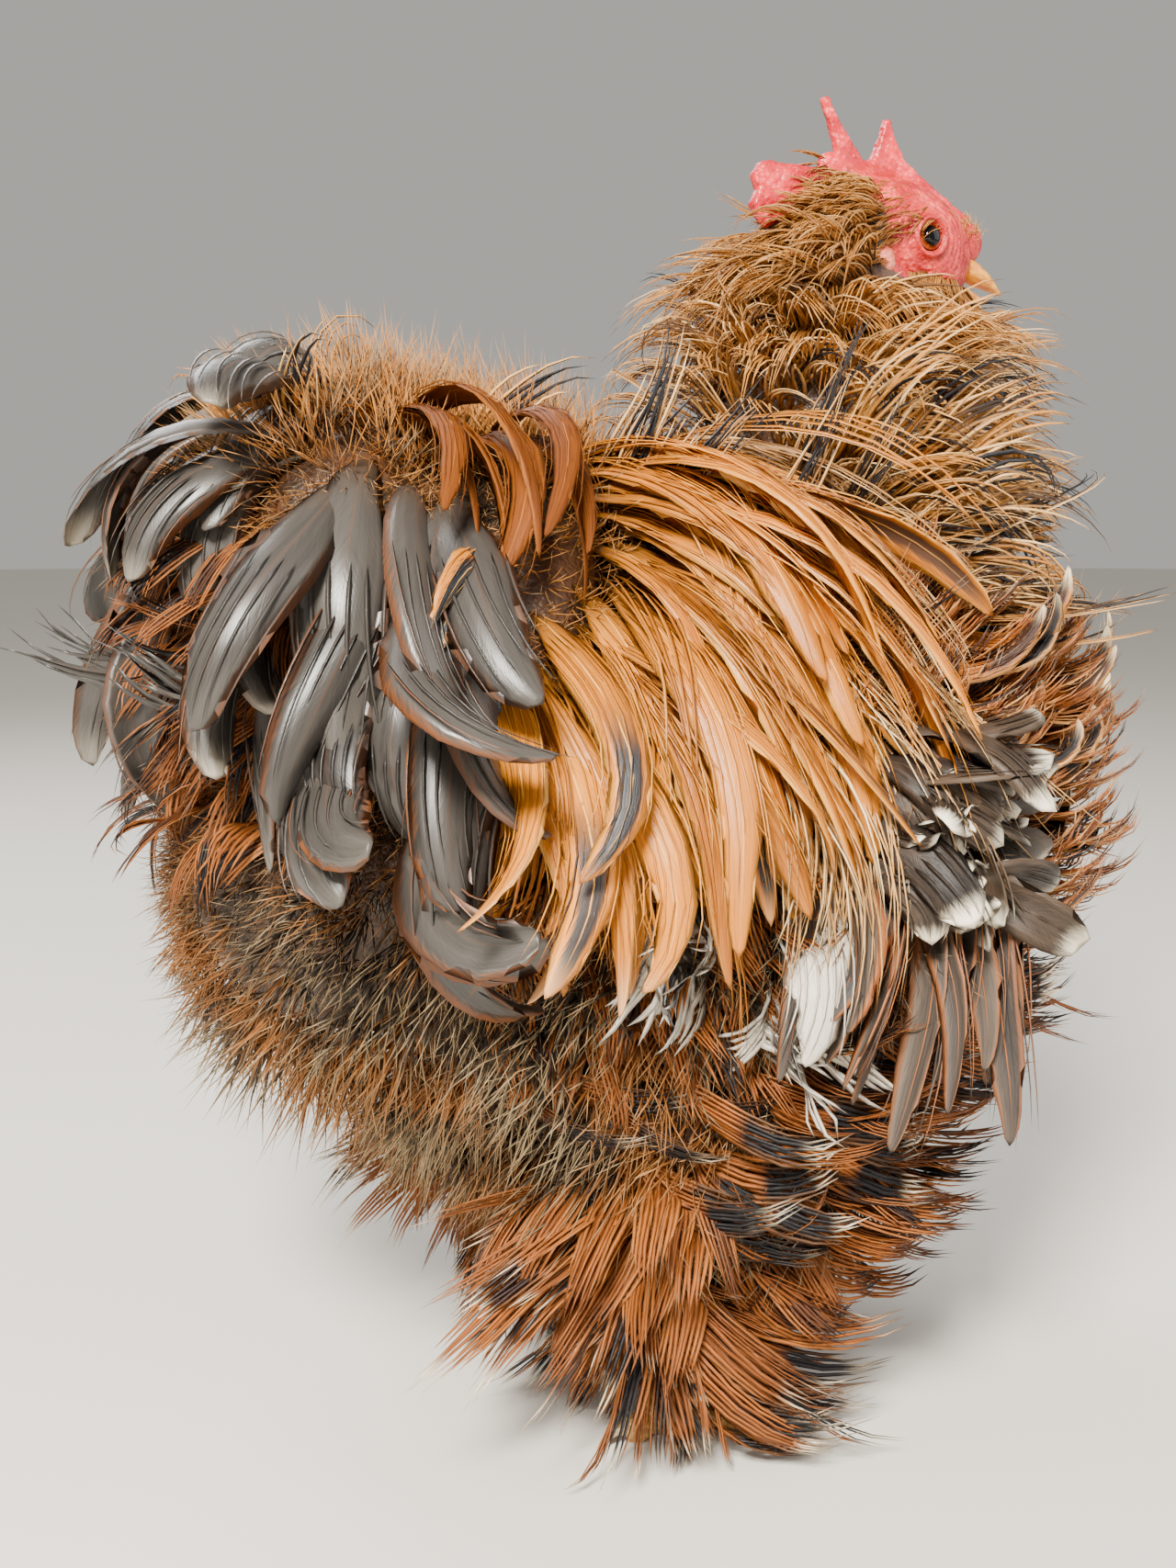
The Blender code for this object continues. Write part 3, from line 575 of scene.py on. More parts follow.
def dressed(piece: Thing, finish: Material, slot: str, *nodes: str) -> None:
    """Finishes a piece and ties it to the frame.

    Args:
        piece: the piece.
        finish: its material.
        slot: a material slot's name; it is not used.
        nodes: the CAD nodes that it stands for.
    """
    piece.data.materials.clear()
    piece.data.materials.append(finish)
    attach(piece, "root")
    if nodes:
        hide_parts(*nodes)
    LOG.info("%s: %d faces", piece.name, len(piece.data.polygons))


@dataclass(frozen=True)
class Egg:
    """A rounded form: its middle, its half lengths, and the dip of its front end."""

    centre: Point
    half: Point
    dip: float = 0.0

    def add_to(self, form: Form, inset: float = 0.0, side: int = 1) -> None:
        """Adds the egg to a form.

        Args:
            form: the form that is added to.
            inset: how far inside its own surface the egg is made.
            side: 1 for the left or the middle, -1 for the right.
        """
        size = Matrix.Diagonal([value - inset for value in self.half] + [1])
        turn = Matrix.Rotation(math.radians(self.dip), 4, "Y")
        bmesh.ops.create_uvsphere(form, u_segments=64, v_segments=40, radius=1,
                                  matrix=Matrix.Translation(laid(self.centre, side)) @ turn @ size)


def add_cone(form: Form, start: Vector, end: Vector, base_r: float, tip_r: float) -> None:
    """Adds a closed cone between two places of the frame."""
    way = end - start
    turn = way.to_track_quat("Z", "Y").to_matrix().to_4x4()
    bmesh.ops.create_cone(form, cap_ends=True, segments=48, radius1=base_r, radius2=tip_r,
                          depth=way.length, matrix=Matrix.Translation((start + end) / 2) @ turn)


@dataclass
class Skin:
    """The one skin over head, body and legs, inside the plumage by the coat's depth."""

    inset: float = 0.007
    voxel: float = 0.0025
    trunk: tuple[Egg, ...] = (
        Egg((0.008, 0, 0.176), (0.118, 0.098, 0.1), 8),
        Egg((0.062, 0, 0.196), (0.084, 0.084, 0.09), 10),
        Egg((-0.052, 0, 0.238), (0.076, 0.086, 0.066), -8),
        Egg((-0.088, 0, 0.272), (0.044, 0.056, 0.04), -20),
        Egg((-0.082, 0, 0.172), (0.058, 0.072, 0.056), 20),
    )
    paired: tuple[Egg, ...] = (
        Egg((0.02, 0.046, 0.096), (0.06, 0.04, 0.056), 10),
        Egg((0.046, 0.098, 0.18), (0.046, 0.02, 0.03), -72),
    )
    head: tuple[Egg, ...] = (
        Egg((0.0985, 0, 0.3655), (0.03, 0.018, 0.0205), 14),
        Egg((0.109, 0, 0.358), (0.017, 0.0165, 0.013), 20),
        Egg((0.1265, 0, 0.3665), (0.007, 0.0055, 0.0075), 50),
        Egg((0.098, 0, 0.382), (0.027, 0.0036, 0.007), 18),
    )
    neck_r: float = 0.06
    throat_r: float = 0.0175
    hock_r: float = 0.0105
    shank_r: float = 0.0062
    shank_top_r: float = 0.0085
    lid_r: float = 0.0056
    lid_rise: float = 0.0017
    lid_width: float = 0.001
    mouth: tuple[Point, Point] = ((0.124, 0.0062, 0.356), (0.113, 0.0135, 0.353))
    pebble: float = 0.0013
    tousle: float = 42.0
    piece: Thing = field(init=False)
    surface: BVHTree = field(init=False)
    face_uv: Rows = field(init=False)

    def build(self) -> None:
        """Makes the skin, its unwrap and its search tree."""
        form = bmesh.new()
        for egg in self.trunk:
            egg.add_to(form, self.inset)
        for egg in self.head:
            egg.add_to(form)
        add_cone(form, laid(NECK_AXIS[1]), laid(NECK_AXIS[0]), self.neck_r, self.throat_r)
        for side in (1, -1):
            for egg in self.paired:
                egg.add_to(form, self.inset, side)
            add_cone(form, laid(HOCK, side), laid(ANKLE, side), self.shank_top_r, self.shank_r)
            Egg(HOCK, (self.hock_r,) * 3).add_to(form, 0.0, side)
        feet = node_copy(*FEET)
        scrap = bpy.data.meshes.new("feet")
        feet.to_mesh(scrap)
        feet.free()
        form.from_mesh(scrap)
        bpy.data.meshes.remove(scrap)
        self.piece = remeshed(form, "skin", self.voxel, 2)
        self.refine()
        self.sculpt()
        self.unwrap()
        mesh = self.piece.data
        mesh.shade_smooth()
        corners = [v.co for v in mesh.vertices]
        self.surface = BVHTree.FromPolygons(corners, [p.vertices for p in mesh.polygons])
        self.mark()

    def refine(self) -> None:
        """Gives the face and the toes smaller faces, and rounds them on their own forms."""
        fine = node_copy(*FEET)
        for egg in self.head:
            egg.add_to(fine)
        ideal = BVHTree.FromBMesh(fine)
        fine.free()
        form = bmesh.new()
        form.from_mesh(self.piece.data)
        head = laid(FACE_MIDDLE)

        def busy(vert: bmesh.types.BMVert, spare: float = 0.0) -> bool:
            """Whether a vertex belongs to the face or the toes."""
            face = (vert.co - head).length < 0.029 + spare and vert.co.z > 0.343 - spare
            return face or vert.co.z < 0.02 + spare

        for _ in range(2):
            wanted = [edge for edge in form.edges if all(busy(v) for v in edge.verts)]
            bmesh.ops.subdivide_edges(form, edges=wanted, cuts=1, use_grid_fill=True)
        chosen = [v for v in form.verts if busy(v, 0.002)]
        for rounds in (3, 2):
            for vert in chosen:
                found, _, _, distance = ideal.find_nearest(vert.co)
                if distance < self.voxel * 0.6:
                    vert.co = found
            for _ in range(rounds):
                bmesh.ops.smooth_vert(form, verts=chosen, factor=0.5, use_axis_x=True, use_axis_y=True,
                                      use_axis_z=True)
        form.to_mesh(self.piece.data)
        form.free()

    def sculpt(self) -> None:
        """Raises the lids, the wrinkles round them and the pebbles, and sinks the corner of the mouth."""
        mesh = self.piece.data
        points, normals = points_of(mesh), points_of(mesh, "normal")
        head = np.array(laid(FACE_MIDDLE))
        near = 1 - smooth(np.linalg.norm(points - head, axis=1), 0.022, 0.03)
        rise = np.zeros(len(points))
        for side in (1, -1):
            look = unit(np.array(LOOK) * (1, side, 1))
            away = points - np.array(laid(EYE_AT, side))
            depth = away @ look
            reach = np.linalg.norm(away - depth[:, None] * look, axis=1)
            facing = smooth(depth, -0.006, 0.0)
            lid = np.exp(-((reach - self.lid_r) / self.lid_width) ** 2)
            upper = 1 + 0.5 * smooth(away[:, 2], 0.0, 0.004)
            rise += facing * lid * self.lid_rise * upper
            ripple = np.cos((reach - self.lid_r) / (2 * self.lid_width) * 2 * math.pi)
            wrinkled = smooth(reach, 0.007, 0.0085) * (1 - smooth(reach, 0.012, 0.018))
            rise += facing * ripple * 0.00022 * wrinkled
            rise -= facing * 0.003 * (1 - smooth(reach, 0.0036, 0.005))
            start, end = (np.array(laid(place, side)) for place in self.mouth)
            run = end - start
            share = np.clip((points - start) @ run / (run @ run), 0, 1)
            gap = np.linalg.norm(points - start - share[:, None] * run, axis=1)
            rise -= 0.0009 * np.exp(-(gap / 0.0008) ** 2)
        busy = np.flatnonzero(near > 0.01)
        pebbles = np.zeros(len(points))
        pebbles[busy] = pebbled(points[busy], self.pebble)
        rise += near * pebbles * 0.00035
        set_points(mesh, points + normals * (rise * near)[:, None])
        set_share(mesh, "bare", self.bareness(points))
        set_share(mesh, "foot", 1 - smooth(points[:, 2], 0.02, 0.03))

    def bareness(self, points: Rows) -> Rows:
        """How bare the skin is: 1 on the face, and 0 under the plumage."""
        at = points - np.array(LAYOUT)
        face = smooth(at[:, 0], 0.084, 0.094) * smooth(at[:, 2] + 0.25 * at[:, 0], 0.3745, 0.3785)
        crown = smooth(at[:, 2], 0.372, 0.378) * smooth(at[:, 0], 0.06, 0.1)
        return np.maximum(face, crown * 0.8)

    def unwrap(self) -> None:
        """Unwraps the skin's own shape for the plumage's roots."""
        mesh = self.piece.data
        mesh.uv_layers.new(name="OFBake")
        bpy.context.view_layer.objects.active = self.piece
        self.piece.select_set(True)
        bpy.ops.object.mode_set(mode="EDIT")
        bpy.ops.mesh.select_all(action="SELECT")
        bpy.ops.uv.smart_project(angle_limit=math.radians(66), island_margin=0.001)
        bpy.ops.object.mode_set(mode="OBJECT")
        self.piece.select_set(False)
        loops = np.zeros(len(mesh.loops) * 2, np.float32)
        mesh.uv_layers["OFBake"].data.foreach_get("uv", loops)
        starts = np.zeros(len(mesh.polygons), np.int32)
        mesh.polygons.foreach_get("loop_start", starts)
        self.face_uv = loops.reshape(-1, 2)[starts]

    def mark(self) -> None:
        """Stores which way the coat lies, and where and how long the down grows."""
        mesh = self.piece.data
        points, normals = points_of(mesh), points_of(mesh, "normal")
        at = points - np.array(LAYOUT)
        x, y, z = at.T
        lay = np.stack([-0.45 * np.ones_like(x), 0.25 * np.sign(y), -0.75 * np.ones_like(x)], axis=1)
        crest = smooth(z, 0.275, 0.295) * (1 - smooth(x, -0.01, 0.02))
        lay = lay * (1 - crest)[:, None] + np.array((-0.35, 0.0, 0.9)) * crest[:, None]
        lobes = np.array([noise.noise_vector(Vector(p) * self.tousle) for p in points])
        lay = unit(lay - normals * (lay * normals).sum(axis=1, keepdims=True) * 0.6 + lobes * 0.9)
        set_vector(mesh, "lay", lay)
        belly = (1 - smooth(z + 0.25 * x, 0.15, 0.185)) * (1 - smooth(x, 0.08, 0.12)) * smooth(z, 0.03, 0.045)
        rear = (1 - smooth(x, -0.085, -0.055)) * smooth(z, 0.14, 0.17)
        parting = np.exp(-(((x + 0.042) / 0.03) ** 4 + ((z - 0.256) / 0.036) ** 4))
        seam = np.exp(-((z - 0.284) / 0.014) ** 4) * (1 - smooth(x, -0.05, -0.03))
        parting = np.maximum(parting, seam)
        ridge = crest * smooth(x, -0.14, -0.11)
        rest = smooth(z, 0.06, 0.09) * (1 - smooth(z, 0.325, 0.34))
        set_share(mesh, "down_belly_left", belly * (y > 0))
        set_share(mesh, "down_belly_right", belly * (y <= 0))
        set_share(mesh, "down_rear", np.clip(rear, 0, 1))
        set_share(mesh, "down_part", np.clip(parting * (1 - belly) * (1 - ridge), 0, 1))
        set_share(mesh, "down_crest", ridge)
        set_share(mesh, "down_under", np.clip(rest - belly - rear - parting, 0, 1))
        low_rear = (1 - smooth(x, -0.02, 0.02)) * (1 - smooth(z, 0.14, 0.19)) * smooth(z, 0.06, 0.09)
        rump = (1 - smooth(x, -0.135, -0.085)) * smooth(z, 0.12, 0.17)
        set_share(mesh, "down_size", (1 + 0.7 * low_rear) * (1 - 0.42 * rump))

    def uv_near(self, points: Rows) -> Rows:
        """Where the unwrap has the skin nearest to each point."""
        faces = [self.surface.find_nearest(Vector(p))[2] for p in points]
        return self.face_uv[faces]

    def nearest(self, points: Rows) -> tuple[Rows, Rows]:
        """The nearest places on the skin, and the skin's normals there."""
        found = [self.surface.find_nearest(Vector(p))[:2] for p in points]
        return np.array([f[0] for f in found]), np.array([f[1] for f in found])

    def sites(self, centre: Point, turns: Rows, climbs: Rows) -> tuple[Rows, Rows]:
        """Where rays to a centre meet the skin from outside.

        Args:
            centre: the rays' common end, in the frame.
            turns: angles round the centre, 0 ahead and 90 on the left.
            climbs: angles above the level.

        Returns:
            The places and the normals there.
        """
        turns, climbs = np.radians(turns), np.radians(climbs)
        ways = fanned(turns, np.cos(climbs), np.sin(climbs))
        places, normals = [], []
        for way in ways:
            found, normal, _, _ = self.surface.ray_cast(Vector(centre) + Vector(way) * 0.5, -Vector(way))
            places.append(found)
            normals.append(normal if normal.dot(Vector(way)) > 0 else -normal)
        return np.array(places), np.array(normals)


@dataclass(frozen=True)
class Cut:
    """How one kind of feather is made up of locks of barbs, or of one blade with a few locks over it."""

    locks: int = 7
    columns: int = 2
    rings: int = 6
    begin: float = 0.0
    root: float = 0.3
    fill: float = 0.35
    point: float = 0.45
    oval: float = 0.22
    ragged: float = 0.16
    sharp: float = 2.0
    split: float = 0.34
    flick: float = 0.1
    wave: float = 0.03
    camber: float = 0.12
    hollow: float = 0.0
    fray: float = 0.0
    cover: float = 1.05
    thick: float = 0.00032
    over: "Cut | None" = None


STRINGY = Cut()
HACKLE_CUT = Cut(rings=7, root=0.45, fill=0.3, point=0.4, oval=0.2, ragged=0.3, sharp=1.5, split=0.55,
                 flick=0.07, wave=0.07, camber=0.25, cover=0.85, thick=0.00025)
VANE = Cut(locks=9, root=0.4, point=0.35, oval=0.24, ragged=0.12, sharp=2.4, split=0.2, flick=0.06,
           wave=0.03, camber=0.2, cover=1.15, thick=0.00028)
BARBS = Cut(locks=8, rings=6, begin=0.15, root=0.8, point=0.25, oval=0.06, ragged=0.16, sharp=1.4, split=0.9,
            flick=0.05, wave=0.02, camber=0.2, cover=0.42, thick=0.0002)
BROAD = Cut(locks=1, columns=7, rings=12, root=0.4, fill=0.4, point=0.3, ragged=0.08, oval=0.0, sharp=3.0,
            split=0.1, flick=0.06, wave=0.08, camber=0.0, hollow=0.34, fray=0.2, cover=0.96, thick=0.0002,
            over=BARBS)
BLUNT = replace(BROAD, root=0.3, fill=0.6, point=0.05, sharp=5.0, fray=0.12, wave=0.05, hollow=0.42,
                over=replace(BARBS, locks=6, begin=0.5, split=0.5, cover=0.3))
FRINGE = Cut(locks=6, rings=9, root=0.35, point=0.45, oval=0.2, ragged=0.25, sharp=1.6, split=0.7,
             flick=0.05, wave=0.09, cover=0.75)
COVERT = Cut(locks=1, columns=7, rings=7, root=0.35, fill=0.6, point=0.0, oval=0.0, ragged=0.02, sharp=6.0,
             split=0.1, flick=0.05, wave=0.0, camber=0.0, hollow=0.35, fray=0.14, cover=1.0, thick=0.00022,
             over=replace(BARBS, locks=5, rings=5, begin=0.55, oval=0.1, split=0.25, cover=0.4, ragged=0.08))
TATTER = Cut(rings=7, root=0.4, point=0.1, oval=0.15, ragged=0.3, sharp=3.0,
             split=0.6, flick=0.35, wave=0.12, cover=1.4)
HAIR = Cut(locks=1, rings=3, root=0.8, point=0.0, oval=0.0, ragged=0.1, sharp=1.4, split=0.0, flick=0.0,
           wave=0.0, camber=0.0, thick=0.00012)
SHORT = Cut(locks=5, rings=3, root=0.4, point=0.4, oval=0.25, ragged=0.2, sharp=1.6, split=0.3, flick=0.1,
            thick=0.00025)
STATIONS = 24
LOOSE_FROM = 0.45
SWAYS = 9
JOG = 0.0004
OVERLAY = 0.0005


@dataclass
class Flock:
    """Many feathers of one cut, as rows: where each grows and how it runs from root to tip."""

    roots: Rows
    normals: Rows
    lays: Rows
    starts: Rows
    middles: Rows
    finishes: Rows
    lengths: Rows
    widths: Rows
    twists: Rows
    tones: Rows
    marks: Rows

    def paths(self) -> tuple[Rows, Rows, Rows]:
        """The feathers' middle lines, their widths' directions and their faces' directions."""
        def heading(at: Rows) -> Rows:
            """The way that each feather runs at these shares of its length."""
            s = at[None, :, None]
            return unit((1 - s) ** 2 * self.starts[:, None] + 2 * s * (1 - s) * self.middles[:, None]
                        + s ** 2 * self.finishes[:, None])

        at = np.linspace(0, 1, STATIONS + 1)
        steps = heading((at[1:] + at[:-1]) / 2) * (self.lengths / STATIONS)[:, None, None]
        spine = self.roots[:, None] + np.pad(np.cumsum(steps, axis=1), ((0, 0), (1, 0), (0, 0)))
        ways = heading(at)
        across = np.zeros_like(ways)
        running = np.cross(self.normals, self.lays)
        for station in range(STATIONS + 1):
            way = ways[:, station]
            running = unit(running - way * (running * way).sum(axis=1, keepdims=True))
            across[:, station] = running
        faces = np.cross(ways, across)
        turn = self.twists[:, None, None] * at[None, :, None] ** 1.5
        near, far = np.cos(turn), np.sin(turn)
        return spine, across * near + faces * far, faces * near - across * far


@dataclass
class Plumes:
    """A growing heap of feather meshes that ends as one piece.

    Each heap is the points, plume and marking attributes, bake map, rings and corners around of one flock.
    """

    name: str
    heaps: list[tuple] = field(default_factory=list)

    def add(self, flock: Flock, cut: Cut, skin: Skin) -> None:
        """Turns a flock into locks of barbs.

        Args:
            flock: the feathers.
            cut: how each is made.
            skin: the skin, for the roots' places on its unwrap.
        """
        if cut.over:
            self.add(flock, cut.over, skin)
        chance = chance_of(f"{self.name}{len(self.heaps)}")
        count, rings, locks = len(flock.roots), cut.rings, cut.locks
        lanes = (np.arange(locks) + 0.5) / locks * 2 - 1
        wild = chance.uniform(-1, 1, (5, count, locks))
        ends = 1 - cut.oval * lanes ** 2 - cut.ragged * (wild[0] * 0.5 + 0.5)
        local = 1 - (1 - np.linspace(0, 1, rings + 2)) ** (1.5 if cut.columns > 2 else 1.0)
        along = cut.begin + (ends[:, :, None] - cut.begin) * local
        vane = cut.root + (1 - cut.root) * smooth(along, 0.0, cut.fill)
        vane = vane * (1 - cut.point * along ** 3) * (flock.widths / 2)[:, None, None]
        loose = np.clip(along - LOOSE_FROM, 0, 1) ** 2
        swing = np.sin(along * SWAYS + wild[4][:, :, None] * 5) * cut.wave
        side = (lanes[None, :, None] * vane
                + ((wild[1] * 0.6 + lanes * 0.7)[:, :, None] * cut.split * loose + swing)
                * flock.widths[:, None, None])
        lift = (-cut.camber * lanes[None, :, None] ** 2 * vane
                + wild[2][:, :, None] * cut.flick * loose * flock.lengths[:, None, None]
                + wild[3][:, :, None] * JOG * (0.3 + along)
                + (OVERLAY if cut.begin else 0.0))
        taper = np.sqrt(np.clip(1 - local ** cut.sharp, 0, 1)) * smooth(local + 0.35, 0.0, 0.6)
        half = vane * (1 / locks) * taper * cut.cover
        deep = np.minimum(cut.thick, half * 0.9) + half * (0.12 if cut.columns == 2 else 0.0)
        spine, across, faces = flock.paths()
        whole = np.clip(along * STATIONS, 0, STATIONS - 1e-6)
        cell = whole.astype(int)
        rows = np.arange(count)[:, None, None]
        part = (whole - cell)[..., None]
        centre, wide, face = [grid[rows, cell] * (1 - part) + grid[rows, cell + 1] * part
                              for grid in (spine, across, faces)]
        centre = centre + wide * side[..., None] + face * lift[..., None]
        ring = self.ring(cut.columns)
        around = len(ring)
        inner = slice(1, rings + 1)
        torn = chance.uniform(-1, 1, (2, count, locks, rings, 1)) * cut.fray
        torn = np.where(ring[:, 0] < 0, torn[0], torn[1]) * np.abs(ring[:, 0]) ** 3 * along[:, :, inner, None]
        breadth = ring[:, 0] * (1 + torn) * half[:, :, inner, None]
        height = (ring[:, 1] * deep[:, :, inner, None]
                  - cut.hollow * ring[:, 0] ** 2 * half[:, :, inner, None] * (0.5 + along[:, :, inner, None]))
        tube = (centre[:, :, inner, None] + wide[:, :, inner, None] * breadth[..., None]
                + face[:, :, inner, None] * height[..., None])
        points = np.concatenate([centre[:, :, :1], tube.reshape(count, locks, rings * around, 3),
                                 centre[:, :, -1:]], axis=2)
        place = lanes[None, :, None, None] + ring[:, 0] * (1 / locks) + np.zeros((count, 1, rings, 1))
        place = place.reshape(count, locks, rings * around)
        middle = np.broadcast_to(lanes[None, :, None], (count, locks, 1))
        place = np.concatenate([middle, place, middle], axis=2)
        run = np.repeat(along[:, :, inner], around, axis=2)
        run = np.concatenate([along[:, :, :1], run, along[:, :, -1:]], axis=2)
        tone = np.clip(flock.tones[:, None] + wild[0] * 0.16, 0, 1)
        plume = np.stack([run, place, np.broadcast_to(tone[:, :, None], run.shape)], axis=-1)
        marking = np.broadcast_to(flock.marks[:, None, None], plume.shape)
        uv = skin.uv_near(flock.roots)[:, None, None] + PATCH * np.stack([place / 2, run], axis=-1)
        self.heaps.append((kept_inside(points.reshape(-1, 3)), plume.reshape(-1, 3), marking.reshape(-1, 3),
                           uv.reshape(-1, 2), rings, around))

    @staticmethod
    def ring(columns: int) -> Rows:
        """The corners of a lock's section as shares of its half width and its thickness."""
        if columns == 2:
            return np.array([(-1.0, 0.0), (0.0, -1.0), (1.0, 0.0)])
        inner = np.linspace(-1, 1, columns)[1:-1]
        under = [(c, -(1 - c * c)) for c in inner]
        over = [(c, 1 - c * c) for c in inner[::-1]]
        return np.array([(-1.0, 0.0), *under, (1.0, 0.0), *over])

    @staticmethod
    def faces(count: int, rings: int, around: int) -> tuple[Rows, Rows]:
        """The triangles and quads of a number of locks."""
        size = rings * around + 2
        turn = np.arange(around)
        after = (turn + 1) % around
        last = 1 + (rings - 1) * around
        caps = np.concatenate([np.stack([np.zeros(around, int), 1 + after, 1 + turn], 1),
                               np.stack([np.full(around, size - 1), last + turn, last + after], 1)])
        rows = (1 + np.arange(rings - 1) * around)[:, None]
        walls = np.stack([rows + turn, rows + after, rows + around + after, rows + around + turn], -1)
        shift = (np.arange(count) * size)[:, None, None]
        return (caps[None] + shift).reshape(-1, 3), (walls.reshape(-1, 4)[None] + shift).reshape(-1, 4)

    def piece(self) -> Thing:
        """The heap as one mesh object with its attributes and its bake map."""
        triangles, quads, first = [], [], 0
        for points, _, _, _, rings, around in self.heaps:
            caps, walls = self.faces(len(points) // (rings * around + 2), rings, around)
            triangles.append(caps + first)
            quads.append(walls + first)
            first += len(points)
        points, plume, marking, uv = [np.concatenate([heap[i] for heap in self.heaps]) for i in range(4)]
        corners = np.concatenate([np.concatenate(triangles).ravel(), np.concatenate(quads).ravel()])
        three, four = sum(map(len, triangles)), sum(map(len, quads))
        mesh = bpy.data.meshes.new(self.name)
        mesh.vertices.add(len(points))
        mesh.loops.add(len(corners))
        mesh.polygons.add(three + four)
        mesh.loops.foreach_set("vertex_index", corners.astype(np.int32))
        starts = np.concatenate([np.arange(three) * 3, three * 3 + np.arange(four) * 4])
        mesh.polygons.foreach_set("loop_start", starts.astype(np.int32))
        set_points(mesh, points)
        mesh.update(calc_edges=True)
        set_vector(mesh, "plume", plume)
        set_vector(mesh, "marking", marking)
        mesh.uv_layers.new(name="OFBake").data.foreach_set("uv", uv[corners].astype(np.float32).ravel())
        mesh.shade_smooth()
        return put(self.name, mesh)


@dataclass(frozen=True)
class Lie:
    """A direction as shares of the skin's normal, forwards, upwards and sideways."""

    out: float
    fore: float
    up: float
    side: float = 0.0

    def along(self, normals: Rows, hands: Rows) -> Rows:
        """The directions where the skin faces these ways."""
        return unit(normals * self.out + FORE * self.fore + UP * self.up + LEFT * self.side * hands[:, None])


@dataclass(frozen=True)
class Growth:
    """What the feathers of a tract have in common."""

    width: float
    length: Span = (0.0, 0.0)
    start: Lie = Lie(1.0, 0.0, 0.0)
    finish: Lie = Lie(1.0, 0.0, 0.0)
    cut: Cut = STRINGY
    middle: Lie | None = None
    slate: float = 0.0
    slate_share: float = 1.0
    gold: float = 0.0
    pale: float = 0.0
    tone: Span = (0.2, 0.8)
    twist: float = 0.4
    unruly: float = 0.16

    def flock(self, roots: Rows, normals: Rows, lays: Rows, hands: Rows,
              down: Rows, chance: Chance) -> Flock:
        """The feathers at these roots, as the growth's own start and finish say.

        Args:
            roots: where they grow.
            normals: the skin's normals there.
            lays: the way along the skin that their flat sides follow.
            hands: 1 on the left and -1 on the right.
            down: how far through the tract each root is, from 0 to 1.
            chance: the random draws.

        Returns:
            The flock.
        """
        middle = self.middle or Lie(*[(a + b) / 2 for a, b in zip(astuple(self.start), astuple(self.finish))])
        ways = [lie.along(normals, hands) for lie in (self.start, middle, self.finish)]
        length = self.length[0] + (self.length[1] - self.length[0]) * down
        return self.drawn(roots, normals, lays, ways, length, chance)

    def drawn(self, roots: Rows, normals: Rows, lays: Rows, ways: list[Rows],
              lengths: Rows, chance: Chance) -> Flock:
        """The feathers that run these ways.

        Args:
            roots: where they grow.
            normals: the skin's normals there.
            lays: the way along the skin that their flat sides follow.
            ways: their headings at the root, on the way and at the tip.
            lengths: their lengths before chance.
            chance: the random draws.

        Returns:
            The flock.
        """
        count = len(roots)
        lean = chance.normal(0, self.unruly, (count, 3))
        bend = chance.normal(0, self.unruly, (count, 3))
        slated = self.slate * (chance.random(count) < self.slate_share) * chance.uniform(0.6, 1.1, count)
        marks = np.stack([slated, self.gold * chance.uniform(0.4, 1.2, count),
                          self.pale * chance.uniform(0.2, 1.2, count)], axis=1)
        lengths = lengths * chance.uniform(0.8, 1.12, count)
        widths = self.width * chance.uniform(0.8, 1.15, count)
        return Flock(roots - normals * ROOT_DEPTH, normals, lays, ways[0] + lean * 0.5,
                     ways[1] + lean * 0.9 + bend * 0.5, ways[2] + lean * 1.2 + bend, lengths, widths,
                     chance.normal(0, self.twist, count), chance.uniform(*self.tone, count), marks)


@dataclass(frozen=True)
class Tract:
    """Feathers in tiers round a centre: 0 is ahead, 90 is left, and the climb is above the level."""

    centre: Point
    turn: Span
    climb: Span
    tiers: int
    across: int
    growth: Growth
    side: Side = Side.MIDDLE

    def sow(self, plumes: Plumes, skin: Skin) -> None:
        """Adds the tract's feathers to a heap."""
        chance = chance_of(f"{plumes.name}{self.centre}{self.turn}{self.climb}")
        for hand in ((1,) if self.side is Side.MIDDLE else (1, -1)):
            tier, place = (grid.ravel() for grid in np.mgrid[0:self.tiers, 0:self.across])
            down = tier / (self.tiers - 1)
            step = (place + 0.5 * (tier % 2) + chance.uniform(-0.3, 0.3, len(tier))) / (self.across - 0.5)
            turns = self.turn[0] + (self.turn[1] - self.turn[0]) * step
            rise = self.climb[1] - self.climb[0]
            climbs = self.climb[0] + rise * down
            climbs = climbs + chance.uniform(-0.4, 0.4, len(tier)) * (rise / self.tiers)
            roots, normals = skin.sites(laid(self.centre, hand), turns * hand, climbs)
            hands = np.full(len(roots), float(hand))
            if self.side is Side.MIDDLE:
                hands = np.where(roots[:, 1] >= 0, 1.0, -1.0)
            lays = unit(-UP + normals * normals[:, 2:3] - FORE * 0.05)
            plumes.add(self.growth.flock(roots, normals, lays, hands, down, chance), self.growth.cut, skin)


